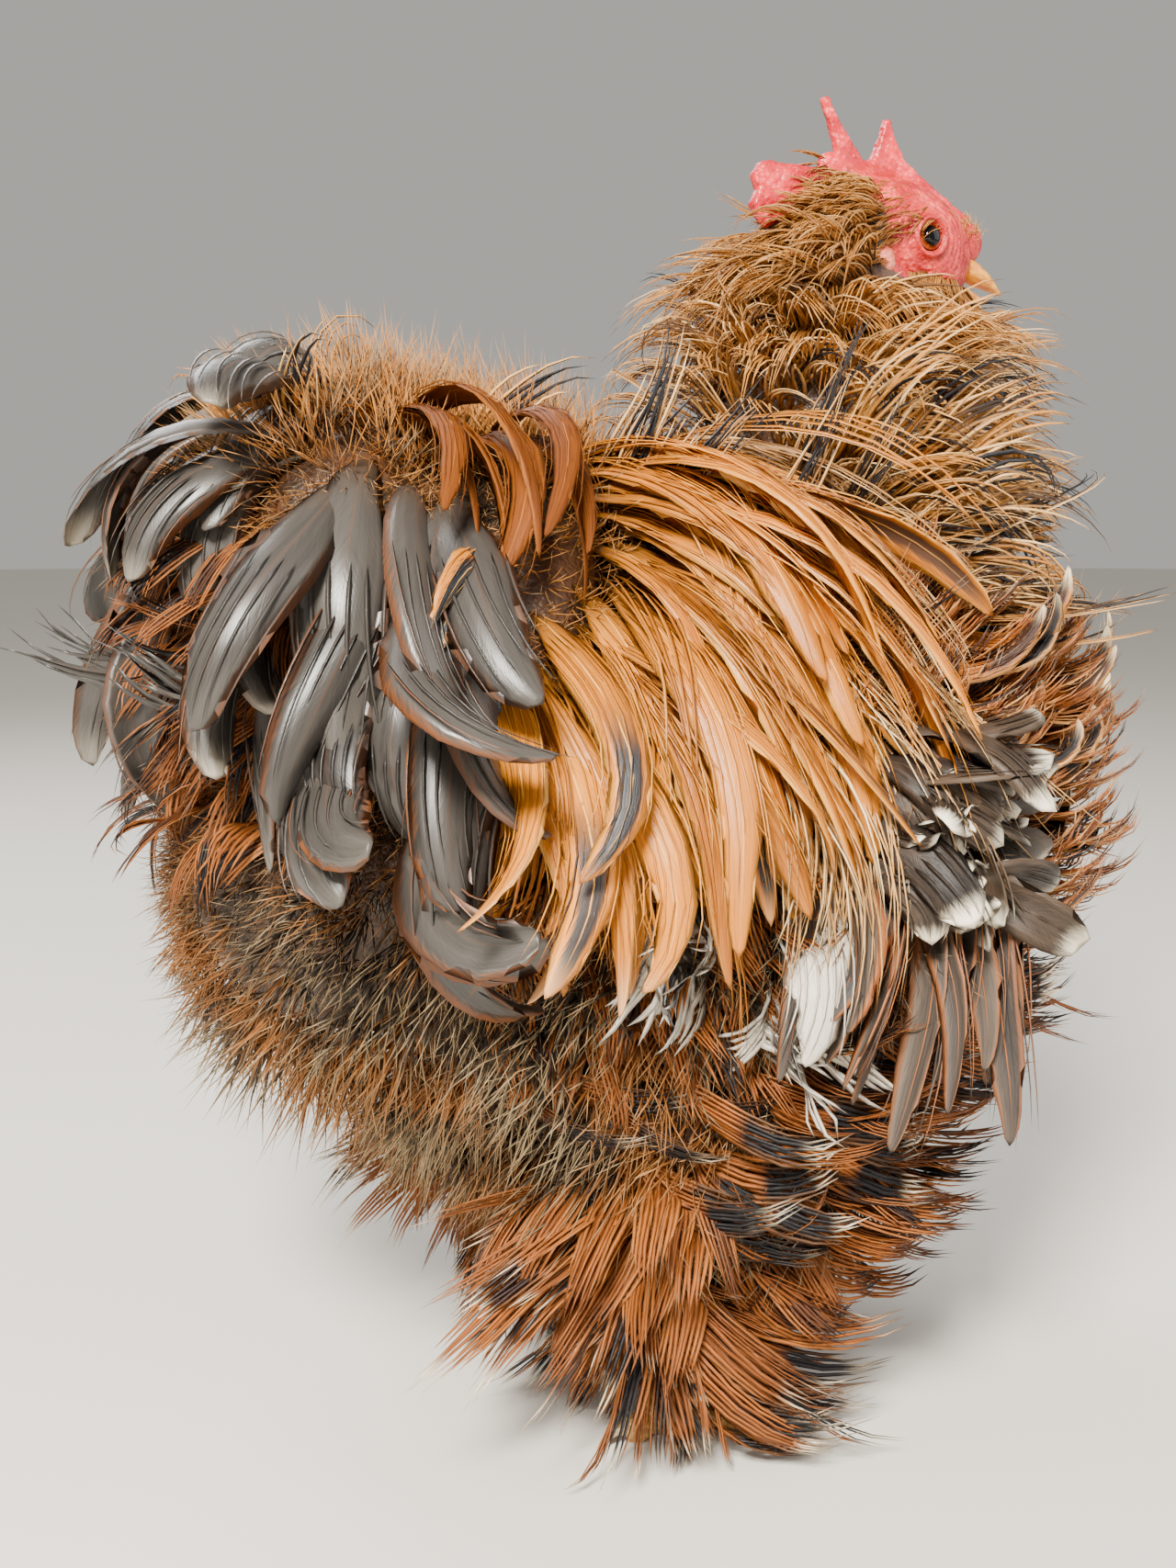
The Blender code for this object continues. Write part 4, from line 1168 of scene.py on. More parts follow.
@dataclass(frozen=True)
class Ring:
    """Feathers round a stretch of the neck: heights from the top down, and their reach round it."""

    heights: Span
    turn: Span
    tiers: int
    across: int
    growth: Growth

    def sow(self, plumes: Plumes, skin: Skin) -> None:
        """Adds the ring's feathers to a heap."""
        chance = chance_of(f"{plumes.name}{self.heights}{self.turn}")
        top, base = (np.array(laid(place)) for place in NECK_AXIS)
        drop = self.heights[1] - self.heights[0]
        for tier in range(self.tiers):
            down = tier / (self.tiers - 1)
            step = np.arange(self.across) + 0.5 * (tier % 2) + chance.uniform(-0.3, 0.3, self.across)
            turns = self.turn[0] + (self.turn[1] - self.turn[0]) * (step / self.across)
            roots, normals = [], []
            for turn in turns:
                height = self.heights[0] + drop * down
                height += chance.uniform(-0.4, 0.4) * (drop / self.tiers)
                centre = base + (top - base) * (height - base[2]) / (top[2] - base[2])
                found, normal = skin.sites(centre, np.array([turn]), np.array([0.0]))
                roots.append(found[0])
                normals.append(normal[0])
            roots, normals = np.array(roots), np.array(normals)
            hands = np.where(roots[:, 1] >= 0, 1.0, -1.0)
            lays = unit(-UP + normals * normals[:, 2:3])
            flock = self.growth.flock(roots, normals, lays, hands, np.full(len(roots), down), chance)
            plumes.add(flock, self.growth.cut, skin)


def in_metres(*paths: tuple) -> tuple:
    """Paths that are given in millimetres, in metres."""
    return tuple(tuple(tuple(value / 1000 for value in stop) for stop in path) for path in paths)


@dataclass(frozen=True)
class Placed:
    """Feathers set one by one, each by four places from root to tip, with looser copies beside it.

    The paths are those of the left side; the right side has them mirrored.
    """

    paths: tuple[tuple[Point, Point, Point, Point], ...]
    growth: Growth
    copies: int = 4
    spread: float = 0.007

    def sow(self, plumes: Plumes, skin: Skin) -> None:
        """Adds the feathers of both sides to a heap."""
        chance = chance_of(f"{plumes.name}{self.paths}")
        for hand in (1, -1):
            stops = np.repeat(np.array(self.paths), self.copies, axis=0)
            stops = stops * (1, hand, 1) + np.array(LAYOUT)
            shifts = chance.normal(0, self.spread, (len(stops), 1, 3)) * (1, 0.5, 1)
            stops = stops + shifts * np.array((0.8, 1.0, 1.1, 1.2))[None, :, None]
            roots, normals = skin.nearest(stops[:, 0])
            runs = np.diff(np.concatenate([roots[:, None], stops[:, 1:]], axis=1), axis=1)
            bent = np.linalg.norm(runs, axis=2).sum(axis=1)
            lengths = (bent + np.linalg.norm(runs.sum(axis=1), axis=1)) / 2
            ways = [runs[:, i] * 3 / bent[:, None] for i in range(3)]
            lays = unit(ways[0] - normals * (ways[0] * normals).sum(axis=1, keepdims=True) * 0.98)
            plumes.add(self.growth.drawn(roots, normals, lays, ways, lengths, chance), self.growth.cut, skin)


@dataclass(frozen=True)
class Cuff:
    """Feathers round both shanks, in rows: each row's height, its number and its feathers' length."""

    rows: tuple[tuple[float, int, float], ...]
    growth: Growth
    reach: float = 0.016

    def sow(self, plumes: Plumes, skin: Skin) -> None:
        """Adds the feathers of both shanks to a heap."""
        chance = chance_of(plumes.name)
        for hand in (1, -1):
            hock, ankle = (np.array(laid(place, hand)) for place in (HOCK, ANKLE))
            for height, across, length in self.rows:
                share = (height - ankle[2]) / (hock[2] - ankle[2])
                turns = np.arange(across) / across * 360 + chance.uniform(-14, 14, across)
                middle = ankle + (hock - ankle) * share
                roots, normals = skin.sites(middle, turns, np.zeros(across))
                near = np.linalg.norm(roots - middle, axis=1) < self.reach
                roots, normals = roots[near], normals[near]
                lays = unit(-UP + normals * normals[:, 2:3])
                hands, down = np.full(len(roots), float(hand)), np.zeros(len(roots))
                growth = replace(self.growth, length=(length, length))
                plumes.add(growth.flock(roots, normals, lays, hands, down, chance), growth.cut, skin)


HACKLE_FINISH = PlumeFinish("hackle_plume", (92, 56, 24), (112, 60, 20), (232, 162, 78), (34, 34, 38),
                            (240, 200, 140), (246, 222, 178), roughness=0.38)
BREAST_FINISH = PlumeFinish("breast_plume", (60, 36, 20), (80, 34, 12), (182, 104, 46), (44, 42, 44),
                            (222, 164, 100), (242, 220, 180), roughness=0.32)
HOOK_FINISH = replace(BREAST_FINISH, name="hook_plume", light=(206, 118, 36), quill=0.4, rim=(0.6, 0.95),
                      stripe=(0.5, 0.64), spread=(0.6, 0.95))
SADDLE_FINISH = PlumeFinish("saddle_plume", (104, 64, 24), (122, 60, 12), (222, 138, 34), (38, 39, 42),
                            (240, 176, 84), (242, 224, 192), quill=0.8, roughness=0.32, gloss=0.35,
                            streak=1.8, rim=(0.7, 1.0), stripe=(0.4, 0.62))
CURL_FINISH = PlumeFinish("curl_plume", (84, 50, 24), (74, 34, 8), (138, 74, 20), (52, 50, 50),
                          (186, 116, 50), (230, 200, 160), quill=0.5, roughness=0.5, gloss=0.12,
                          rim=(0.7, 1.0))
FRINGE_FINISH = PlumeFinish("fringe_plume", (120, 80, 46), (142, 82, 34), (238, 188, 120), (70, 66, 62),
                            (248, 218, 164), (250, 234, 196), roughness=0.36)
SLATE_FINISH = PlumeFinish("slate_plume", (62, 48, 34), (20, 19, 19), (80, 75, 70), (26, 27, 30),
                           (122, 68, 28), (196, 184, 164), quill=0.12, roughness=0.34, gloss=0.5, streak=0.9,
                           rim=(0.76, 0.98))
COVERT_FINISH = PlumeFinish("covert_plume", (60, 48, 38), (24, 22, 23), (86, 70, 56), (20, 19, 20),
                            (112, 84, 58), (250, 238, 214), quill=0.2, roughness=0.4, rim=(0.8, 1.0))
FLIGHT_FINISH = PlumeFinish("flight_plume", (92, 72, 54), (42, 40, 42), (108, 94, 80), (34, 34, 37),
                            (176, 100, 44), (204, 192, 172), quill=0.7, roughness=0.45, rim=(0.62, 0.9))
WHITE_FINISH = PlumeFinish("white_plume", (140, 128, 114), (168, 158, 144), (232, 224, 208), (74, 72, 72),
                           (238, 228, 208), (244, 238, 224), quill=0.4, roughness=0.5)
THIGH_FINISH = PlumeFinish("thigh_plume", (84, 48, 20), (76, 38, 14), (178, 102, 44), (26, 24, 26),
                           (190, 124, 64), (240, 220, 188), roughness=0.46, ends=(0.74, 0.94))
KEEL_FINISH = replace(THIGH_FINISH, name="keel_plume", tip=(30, 26, 26), ends=(0.66, 0.84))
TIPPED_FINISH = replace(THIGH_FINISH, name="tipped_plume", stripe=(0.45, 0.58), spread=(0.95, 1.35),
                        ends=(0.74, 0.88))
BELLY_DOWN = DownFinish("belly_down", (106, 60, 22), (164, 104, 46), (60, 50, 40), (222, 190, 140),
                        26.0, 0.19, 0.85)
BACK_DOWN = DownFinish("back_down", (126, 74, 26), (190, 126, 56), (62, 50, 38), (226, 184, 122),
                       60.0, 0.12, 0.5)
REAR_DOWN = DownFinish("rear_down", (92, 54, 22), (146, 92, 42), (46, 40, 34), (200, 158, 100),
                       34.0, 0.18, 0.45)
# The face's skin; its under colour, a dark brown, is painted shade for the skin inside the coat.
FACE_FINISH = FleshFinish("face_flesh", (168, 26, 30), (222, 58, 54), (246, 150, 132), 760.0, 0.0004, 0.42,
                          (76, 46, 24))
COMB_FINISH = FleshFinish("comb_flesh", (176, 20, 34), (226, 46, 56), (246, 132, 128), 620.0, 0.0005, 0.38)
LOBE_FINISH = FleshFinish("lobe_flesh", (178, 74, 56), (214, 122, 96), (238, 184, 150), 700.0, 0.0003, 0.45)
BEAK_FINISH = HornFinish("beak_horn", (200, 112, 6), (232, 166, 36), (84, 42, 14), 0.3)
CLAW_FINISH = HornFinish("claw_horn", (150, 122, 88), (196, 170, 132), (84, 62, 44), 0.36)
EYE_FINISH = EyeFinish("bird_eye", (70, 28, 10), (150, 66, 20), (30, 16, 12), 0.4, 0.58)


@dataclass(frozen=True)
class Coat:
    """One piece of plumage: its name and finish, a material slot's name, and the tracts that make it up."""

    name: str
    finish: PlumeFinish
    slot: str
    tracts: tuple

    def build(self, skin: Skin) -> None:
        """Grows the piece on the skin."""
        plumes = Plumes(self.name)
        for tract in self.tracts:
            tract.sow(plumes, skin)
        dressed(plumes.piece(), self.finish.material(), self.slot)


PLUMAGE = (
    # The cape of the neck: a smooth nape, a ruff that rises and curls over, and a striped front.
    Coat("ruff_arcs", HACKLE_FINISH, "hackle_feather", (
        Placed(in_metres(
            ((-4, 58, 296), (-6, 78, 306), (-2, 86, 316), (6, 84, 323)),
            ((6, 62, 294), (4, 86, 304), (8, 94, 315), (18, 90, 322)),
            ((24, 66, 282), (22, 94, 298), (28, 102, 314), (42, 96, 327)),
            ((42, 68, 282), (38, 96, 294), (44, 104, 304), (54, 100, 314)),
        ), Growth(0.0125, cut=HACKLE_CUT, slate=1.5, gold=0.9, tone=(0.2, 0.7), twist=0.6,
                  unruly=0.1), 3, 0.004),
        Placed(in_metres(
            ((60, 56, 298), (64, 88, 318), (80, 94, 330), (96, 84, 316)),
            ((75, 54, 288), (88, 88, 306), (106, 86, 314), (120, 72, 300)),
            ((80, 52, 278), (104, 82, 290), (122, 74, 284), (128, 64, 262)),
            ((95, 54, 266), (114, 82, 268), (132, 74, 268), (142, 60, 258)),
            ((100, 58, 250), (120, 86, 246), (140, 74, 248), (156, 58, 246)),
        ), Growth(0.013, cut=FRINGE, slate=1.2, slate_share=0.5, gold=1.1, pale=0.3, tone=(0.4, 1.0),
                  twist=0.8, unruly=0.1), 5, 0.007),
    )),
    Coat("crown_plumes", HACKLE_FINISH, "hackle_feather", (
        Tract((0.09, 0, 0.364), (96, 264), (64, 20), 7, 26, Growth(
            0.0044, (0.016, 0.028), Lie(0.35, -0.5, 0.1), Lie(0.2, -0.6, -0.7), SHORT, gold=0.3,
            tone=(0.1, 0.8))),
        Tract((0.098, 0, 0.362), (34, 132), (64, 12), 9, 13, Growth(
            0.0026, (0.007, 0.016), Lie(0.3, -0.8, 0.0), Lie(0.1, -0.8, -0.7), SHORT, tone=(0.1, 0.7)),
            Side.BOTH),
        Tract((0.1, 0, 0.36), (20, 120), (-14, -50), 7, 18, Growth(
            0.0038, (0.013, 0.024), Lie(0.4, -0.3, -0.5), Lie(0.2, -0.2, -0.9), SHORT, tone=(0.1, 0.8)),
            Side.BOTH),
    )),
    Coat("nape_hackle", HACKLE_FINISH, "hackle_feather", (
        Ring((0.364, 0.346), (96, 264), 4, 24, Growth(
            0.0095, (0.046, 0.062), Lie(0.6, -0.45, 0.3), Lie(0.25, -0.25, -1.0), HACKLE_CUT,
            gold=0.5, tone=(0.0, 0.8), twist=0.9, unruly=0.2)),
        Ring((0.352, 0.334), (-180, 180), 4, 34, Growth(
            0.009, (0.03, 0.046), Lie(0.6, 0.0, -0.2), Lie(0.25, 0.1, -1.0), HACKLE_CUT,
            gold=0.3, tone=(0.0, 0.6), twist=0.8, unruly=0.18)),
    )),
    Coat("ruff_hackle", HACKLE_FINISH, "hackle_feather", (
        Ring((0.336, 0.316), (-180, 180), 4, 34, Growth(
            0.011, (0.05, 0.056), Lie(0.85, 0.1, 0.45), Lie(0.25, 0.4, -1.0), HACKLE_CUT,
            Lie(0.9, 0.3, -0.25), slate=1.0, slate_share=0.25, gold=1.0, tone=(0.3, 1.0), twist=1.0,
            unruly=0.22)),
        Ring((0.314, 0.29), (-180, 180), 4, 34, Growth(
            0.012, (0.05, 0.052), Lie(0.85, 0.1, 0.5), Lie(0.25, 0.45, -1.0), HACKLE_CUT,
            Lie(0.95, 0.35, -0.25), slate=1.1, slate_share=0.4, gold=1.0, tone=(0.3, 1.0), twist=1.0,
            unruly=0.22)),
    )),
    Coat("front_hackle", HACKLE_FINISH, "hackle_feather", (
        Ring((0.292, 0.272), (-130, 130), 4, 30, Growth(
            0.0125, (0.046, 0.048), Lie(0.85, 0.1, 0.4), Lie(0.25, 0.5, -0.9), HACKLE_CUT,
            Lie(0.95, 0.45, -0.1), slate=1.2, slate_share=0.6, gold=1.1, tone=(0.4, 1.0), twist=0.8,
            unruly=0.2)),
        Ring((0.27, 0.246), (-110, 110), 4, 28, Growth(
            0.0125, (0.038, 0.038), Lie(0.8, 0.1, 0.0), Lie(0.35, 0.55, -0.3), HACKLE_CUT,
            Lie(0.95, 0.4, 0.1), slate=1.2, slate_share=0.5, gold=1.0, tone=(0.2, 0.9), twist=0.8,
            unruly=0.2)),
    )),
    # The breast and shoulders: dense feathers that sweep down and curl up again at their tips.
    Coat("breast_hooks", HOOK_FINISH, "breast_feather", (
        Placed(tuple(
            ((x - 0.018, y - 0.034, z + 0.01), (x - 0.008, y + 0.006, z - 0.006),
             (x + 0.008, y + 0.014, z - 0.01), (x + 0.01, y + 0.004, z + 0.01))
            for x, y, z in ((0.045, 0.106, 0.216), (0.06, 0.102, 0.23), (0.078, 0.098, 0.236),
                            (0.098, 0.088, 0.23), (0.118, 0.076, 0.222), (0.138, 0.058, 0.212),
                            (0.148, 0.04, 0.225), (0.09, 0.094, 0.214), (0.11, 0.082, 0.204),
                            (0.13, 0.066, 0.196))
        ), Growth(0.013, cut=BROAD, slate=1.2, gold=1.0, pale=1.3, tone=(0.2, 1.0), twist=0.6,
                  unruly=0.12), 2, 0.005),
    )),
    Coat("breast_coat", BREAST_FINISH, "breast_feather", (
        Tract((0.056, 0, 0.196), (-76, 76), (34, -26), 12, 25, Growth(
            0.0125, (0.048, 0.052), Lie(0.75, -0.1, -0.5), Lie(0.05, 0.2, 1.0), STRINGY,
            Lie(1.0, 0.2, 0.0), slate=1.0, slate_share=0.35, gold=0.8, pale=0.7, unruly=0.17)),
    )),
    Coat("keel_coat", KEEL_FINISH, "breast_feather", (
        Tract((0.034, 0, 0.164), (-104, 104), (-12, -60), 9, 26, Growth(
            0.013, (0.06, 0.048), Lie(0.8, 0.1, -0.35), Lie(0.25, 0.75, 0.6), VANE,
            Lie(0.9, 0.5, -0.1), slate=1.1, slate_share=0.3, gold=0.2, pale=1.0, unruly=0.2)),
    )),
    Coat("shoulder_coat", BREAST_FINISH, "breast_feather", (
        Tract((0.04, 0.02, 0.2), (50, 108), (50, 14), 9, 12, Growth(
            0.0115, (0.05, 0.044), Lie(0.65, -0.2, -0.5), Lie(0.05, 0.35, 1.0), STRINGY,
            Lie(0.95, 0.3, 0.0), slate=1.0, slate_share=0.3, gold=0.9, pale=0.7, unruly=0.2), Side.BOTH),
    )),
    # The saddle: long silky feathers that fan out from a parting on each side of the back.
    Coat("saddle_broad", SADDLE_FINISH, "saddle_feather", (
        Placed(in_metres(
            ((-25, 35, 305), (0, 62, 314), (30, 88, 298), (45, 100, 250)),
            ((-25, 45, 298), (0, 76, 306), (30, 98, 280), (45, 108, 228)),
            ((-25, 55, 288), (4, 90, 290), (32, 108, 258), (44, 110, 206)),
            ((-22, 60, 278), (4, 96, 274), (26, 112, 238), (36, 112, 186)),
            ((-24, 65, 268), (-2, 100, 262), (14, 113, 228), (24, 112, 182)),
            ((-26, 70, 258), (-10, 102, 250), (2, 114, 218), (12, 112, 172)),
        ), Growth(0.0192, cut=BROAD, slate=0.9, slate_share=0.1, gold=0.8, tone=(0.1, 1.0),
                  twist=0.7, unruly=0.1), 9),
        Placed(in_metres(
            ((-25, 40, 302), (4, 72, 312), (34, 96, 288), (42, 108, 240)),
            ((-24, 56, 284), (4, 96, 284), (28, 114, 248), (36, 116, 198)),
            ((-26, 68, 262), (-8, 106, 256), (6, 118, 222), (14, 116, 176)),
            ((-34, 70, 244), (-26, 108, 234), (-14, 118, 198), (-12, 110, 158)),
            ((-50, 70, 240), (-46, 108, 228), (-40, 117, 192), (-46, 106, 154)),
        ), Growth(0.012, cut=FRINGE, gold=0.8, tone=(0.0, 1.0), twist=1.0, unruly=0.12), 9, 0.009),
        Placed(in_metres(
            ((-30, 70, 246), (-14, 108, 232), (0, 118, 198), (-14, 110, 162)),
            ((-42, 70, 240), (-30, 107, 226), (-16, 117, 192), (-34, 108, 154)),
            ((-53, 70, 238), (-46, 106, 224), (-36, 116, 190), (-56, 106, 152)),
            ((-60, 70, 240), (-64, 104, 226), (-52, 113, 192), (-70, 104, 158)),
        ), Growth(0.016, cut=BROAD, slate=1.2, slate_share=0.14, gold=0.8, pale=0.2,
                  tone=(0.2, 1.0), twist=1.0, unruly=0.15), 6, 0.006),
        Placed(in_metres(
            ((-22, 70, 264), (-4, 106, 258), (16, 120, 232), (28, 118, 202)),
        ), Growth(0.015, cut=BROAD, slate=1.4, gold=1.0, twist=0.3, unruly=0.03), 1),
        Placed(in_metres(
            ((-55, 75, 266), (-64, 102, 272), (-82, 112, 262), (-84, 108, 240)),
        ), Growth(0.012, cut=BROAD, slate=1.3, gold=0.3, pale=1.2, twist=0.8, unruly=0.06), 2, 0.005),
    )),
    Coat("saddle_curls", CURL_FINISH, "saddle_feather", (
        Placed(in_metres(
            ((-74, 30, 306), (-70, 58, 322), (-56, 86, 308), (-64, 92, 266)),
            ((-56, 30, 308), (-50, 60, 322), (-34, 88, 304), (-48, 94, 268)),
        ), Growth(0.0112, cut=BROAD, tone=(0.0, 0.5), gold=0.4, twist=0.9, unruly=0.09), 4, 0.005),
        Tract((-0.052, 0, 0.238), (60, 300), (74, 54), 3, 16, Growth(
            0.009, (0.028, 0.03), Lie(0.7, -0.6, 0.2, 0.1), Lie(0.3, -0.9, -0.5, 0.3), STRINGY,
            gold=0.3, tone=(0.2, 0.8), unruly=0.3)),
    )),
    Coat("saddle_fringe", FRINGE_FINISH, "saddle_feather", (
        Placed(in_metres(
            ((-20, 30, 305), (10, 52, 318), (42, 78, 300), (60, 92, 258)),
            ((-5, 40, 290), (25, 75, 298), (53, 95, 265), (62, 106, 212)),
            ((0, 60, 275), (34, 98, 272), (58, 112, 235), (62, 113, 185)),
            ((5, 70, 255), (36, 108, 248), (58, 120, 200), (40, 121, 158)),
            ((0, 75, 245), (26, 110, 232), (44, 122, 188), (18, 120, 145)),
            ((10, 70, 250), (46, 108, 240), (68, 118, 195), (84, 112, 168)),
            ((-5, 80, 240), (14, 112, 222), (28, 123, 182), (8, 120, 146)),
        ), Growth(0.0125, cut=FRINGE, gold=1.0, pale=0.5, tone=(0.3, 1.0), twist=0.9,
                  unruly=0.11), 10, 0.006),
    )),
    Coat("flank_coat", THIGH_FINISH, "breast_feather", (
        Tract((-0.01, 0.02, 0.17), (66, 136), (8, -30), 6, 12, Growth(
            0.0105, (0.034, 0.034), Lie(0.7, 0.0, -0.3), Lie(0.4, 0.2, -0.9), STRINGY,
            slate=1.0, slate_share=0.15, gold=0.2, tone=(0.3, 1.0), unruly=0.3), Side.BOTH),
    )),
    # The tail: broad slate feathers that arch back and drape down, with brown ones among them.
    Coat("tail_arcs", SLATE_FINISH, "tail_feather", (
        Placed(in_metres(
            ((-85, 12, 296), (-104, 26, 330), (-130, 34, 324), (-132, 36, 296)),
            ((-92, 8, 288), (-116, 18, 310), (-144, 22, 294), (-138, 24, 256)),
            ((-95, 26, 284), (-118, 34, 298), (-144, 40, 276), (-138, 42, 238)),
            ((-95, 40, 268), (-120, 50, 270), (-138, 54, 240), (-128, 56, 206)),
        ), Growth(0.022, cut=BLUNT, gold=0.7, pale=0.45, twist=0.7, unruly=0.16), 3, 0.007),
        Placed(in_metres(
            ((-105, 30, 225), (-140, 34, 222), (-158, 36, 232), (-176, 38, 248)),
        ), Growth(0.013, cut=TATTER, twist=1.2, unruly=0.05), 2, 0.003),
    )),
    Coat("tail_drapes", SLATE_FINISH, "tail_feather", (
        Placed(in_metres(
            ((-80, 45, 294), (-110, 92, 282), (-128, 104, 246), (-120, 100, 222)),
            ((-72, 45, 294), (-94, 100, 284), (-112, 112, 250), (-102, 108, 226)),
            ((-64, 48, 290), (-80, 104, 278), (-98, 116, 246), (-90, 112, 222)),
            ((-70, 62, 248), (-96, 108, 234), (-116, 114, 202), (-100, 108, 176)),
            ((-60, 66, 246), (-78, 112, 228), (-94, 118, 192), (-82, 113, 172)),
            ((-76, 68, 206), (-104, 106, 182), (-98, 114, 148), (-74, 112, 146)),
            ((-86, 55, 234), (-122, 94, 212), (-130, 100, 184), (-110, 98, 170)),
        ), Growth(0.025, cut=BLUNT, gold=0.9, pale=0.05, twist=0.6, unruly=0.16), 3, 0.006),
        Placed(in_metres(
            ((-88, 10, 268), (-118, 16, 268), (-138, 20, 230), (-124, 18, 185)),
            ((-88, 30, 260), (-114, 48, 258), (-132, 56, 220), (-118, 52, 176)),
        ), Growth(0.019, cut=BLUNT, gold=0.6, pale=0.25, twist=0.9, unruly=0.15), 3, 0.008),
    )),
    Coat("rear_strands", THIGH_FINISH, "tail_feather", (
        Tract((-0.07, 0, 0.22), (122, 238), (44, -24), 10, 18, Growth(
            0.0095, (0.05, 0.046), Lie(0.65, -0.1, -0.1), Lie(0.15, 0.0, -1.0), STRINGY,
            slate=1.1, slate_share=0.6, gold=0.3, pale=0.2, tone=(0.0, 0.6), twist=0.9, unruly=0.3)),
    )),
    # The wings: black coverts with cream tips, slate flights, a white feather and tattered ends.
    Coat("wing_coverts", COVERT_FINISH, "wing_feather", (
        Placed(tuple(
            ((x - 0.024, 0.096, z + 0.008), (x - 0.016, 0.12, z + 0.014), (x - 0.004, 0.131, z + 0.006),
             (x + 0.006, 0.122, z - 0.006))
            for x, z in ((0.052, 0.196), (0.06, 0.208), (0.07, 0.2), (0.062, 0.186), (0.08, 0.188),
                         (0.072, 0.174), (0.084, 0.172), (0.058, 0.176), (0.066, 0.212), (0.076, 0.206))
        ), Growth(0.017, cut=COVERT, slate=0.3, gold=0.15, pale=1.4, tone=(0.0, 0.9), twist=0.5,
                  unruly=0.22), 3, 0.005),
        Tract((0.056, 0.07, 0.18), (40, 112), (34, 0), 5, 7, Growth(
            0.013, (0.018, 0.02), Lie(0.7, 0.0, -0.5), Lie(0.5, 0.3, 0.0), COVERT,
            slate=0.3, gold=0.15, pale=1.0, tone=(0.0, 0.9), twist=0.4, unruly=0.22), Side.BOTH),
    )),
    Coat("wing_flights", FLIGHT_FINISH, "wing_feather", (
        Placed(in_metres(
            ((55, 90, 195), (60, 114, 180), (58, 123, 150), (48, 120, 118)),
            ((62, 90, 195), (70, 112, 178), (70, 120, 150), (62, 118, 116)),
            ((48, 90, 195), (48, 116, 178), (44, 124, 148), (32, 120, 120)),
            ((30, 90, 185), (28, 114, 172), (24, 121, 148), (16, 117, 122)),
        ), Growth(0.0165, cut=BROAD, slate=0.4, gold=0.9, twist=0.5, unruly=0.08), 4, 0.005),
    )),
    Coat("wing_tatters", WHITE_FINISH, "wing_feather", (
        Placed(in_metres(
            ((14, 90, 172), (18, 116, 165), (14, 124, 148), (6, 122, 128)),
        ), Growth(0.02, cut=BROAD, unruly=0.03), 2, 0.004),
        Placed(in_metres(
            ((-12, 95, 165), (-18, 112, 160), (-22, 120, 150), (-30, 124, 142)),
            ((8, 95, 140), (10, 112, 132), (16, 120, 124), (26, 124, 120)),
        ), Growth(0.013, cut=TATTER, slate=1.1, slate_share=0.6, tone=(0.0, 0.8), twist=1.4,
                  unruly=0.25), 6, 0.006),
    )),
    # The feathered legs and feet.
    Coat("thigh_coat", KEEL_FINISH, "fluff", (
        Tract((0.02, 0.046, 0.104), (-60, 120), (4, -56), 5, 10, Growth(
            0.013, (0.038, 0.034), Lie(0.8, 0.1, -0.35), Lie(0.25, 0.85, -0.1), VANE,
            slate=1.1, slate_share=0.3, gold=0.2, pale=0.6, tone=(0.1, 0.9), unruly=0.2), Side.BOTH),
        Tract((0.02, 0.046, 0.1), (130, 205), (-12, -48), 5, 7, Growth(
            0.012, (0.058, 0.05), Lie(0.8, -0.2, -0.1), Lie(0.35, -0.3, -0.8), VANE,
            slate=0.6, slate_share=0.3, gold=0.4, pale=0.5, tone=(0.2, 1.0), unruly=0.2), Side.BOTH),
    )),
    Coat("thigh_tips", TIPPED_FINISH, "fluff", (
        Placed(tuple(
            ((x - 0.03, y - 0.034, z + 0.016), (x - 0.018, y + 0.006, z + 0.002),
             (x - 0.004, y + 0.018, z - 0.006), (x + 0.012, y + 0.016, z + 0.005))
            for x, y, z in ((-0.008, 0.094, 0.105), (0.0, 0.094, 0.084), (0.014, 0.096, 0.108),
                            (0.024, 0.094, 0.086), (0.036, 0.096, 0.106), (0.05, 0.09, 0.088),
                            (0.06, 0.09, 0.108), (0.078, 0.08, 0.096), (0.092, 0.07, 0.112),
                            (-0.03, 0.09, 0.098), (0.01, 0.088, 0.07), (0.04, 0.084, 0.068),
                            (0.084, 0.082, 0.122), (0.104, 0.066, 0.132))
        ), Growth(0.014, cut=VANE, slate=1.6, gold=0.2, pale=1.4, tone=(0.2, 0.9), twist=0.5,
                  unruly=0.14), 2, 0.006),
        Placed(in_metres(
            ((-16, 54, 46), (-10, 82, 26), (12, 94, 7), (42, 94, 12)),
            ((-18, 54, 40), (-12, 88, 22), (8, 104, 5), (38, 106, 8)),
            ((-10, 52, 50), (0, 72, 32), (24, 80, 14), (56, 76, 20)),
            ((4, 50, 56), (22, 62, 42), (44, 64, 26), (66, 56, 34)),
            ((-22, 56, 70), (-40, 76, 66), (-60, 84, 50), (-78, 82, 34)),
        ), Growth(0.015, cut=VANE, slate=1.4, slate_share=0.7, gold=0.3, pale=1.4, tone=(0.1, 0.8),
                  twist=0.5, unruly=0.1), 3, 0.005),
    )),
    Coat("boot_plumes", THIGH_FINISH, "fluff", (
        Placed(in_metres(
            ((-8, 58, 45), (0, 80, 36), (15, 87, 16), (45, 82, 6)),
            ((-10, 60, 55), (-8, 84, 42), (8, 94, 18), (35, 92, 6)),
            ((-5, 55, 40), (10, 68, 32), (30, 72, 14), (55, 68, 8)),
            ((0, 50, 50), (18, 56, 42), (40, 57, 24), (62, 50, 20)),
            ((-18, 56, 74), (-35, 72, 72), (-55, 78, 56), (-76, 76, 40)),
            ((-18, 60, 65), (-30, 80, 60), (-45, 88, 42), (-60, 86, 24)),
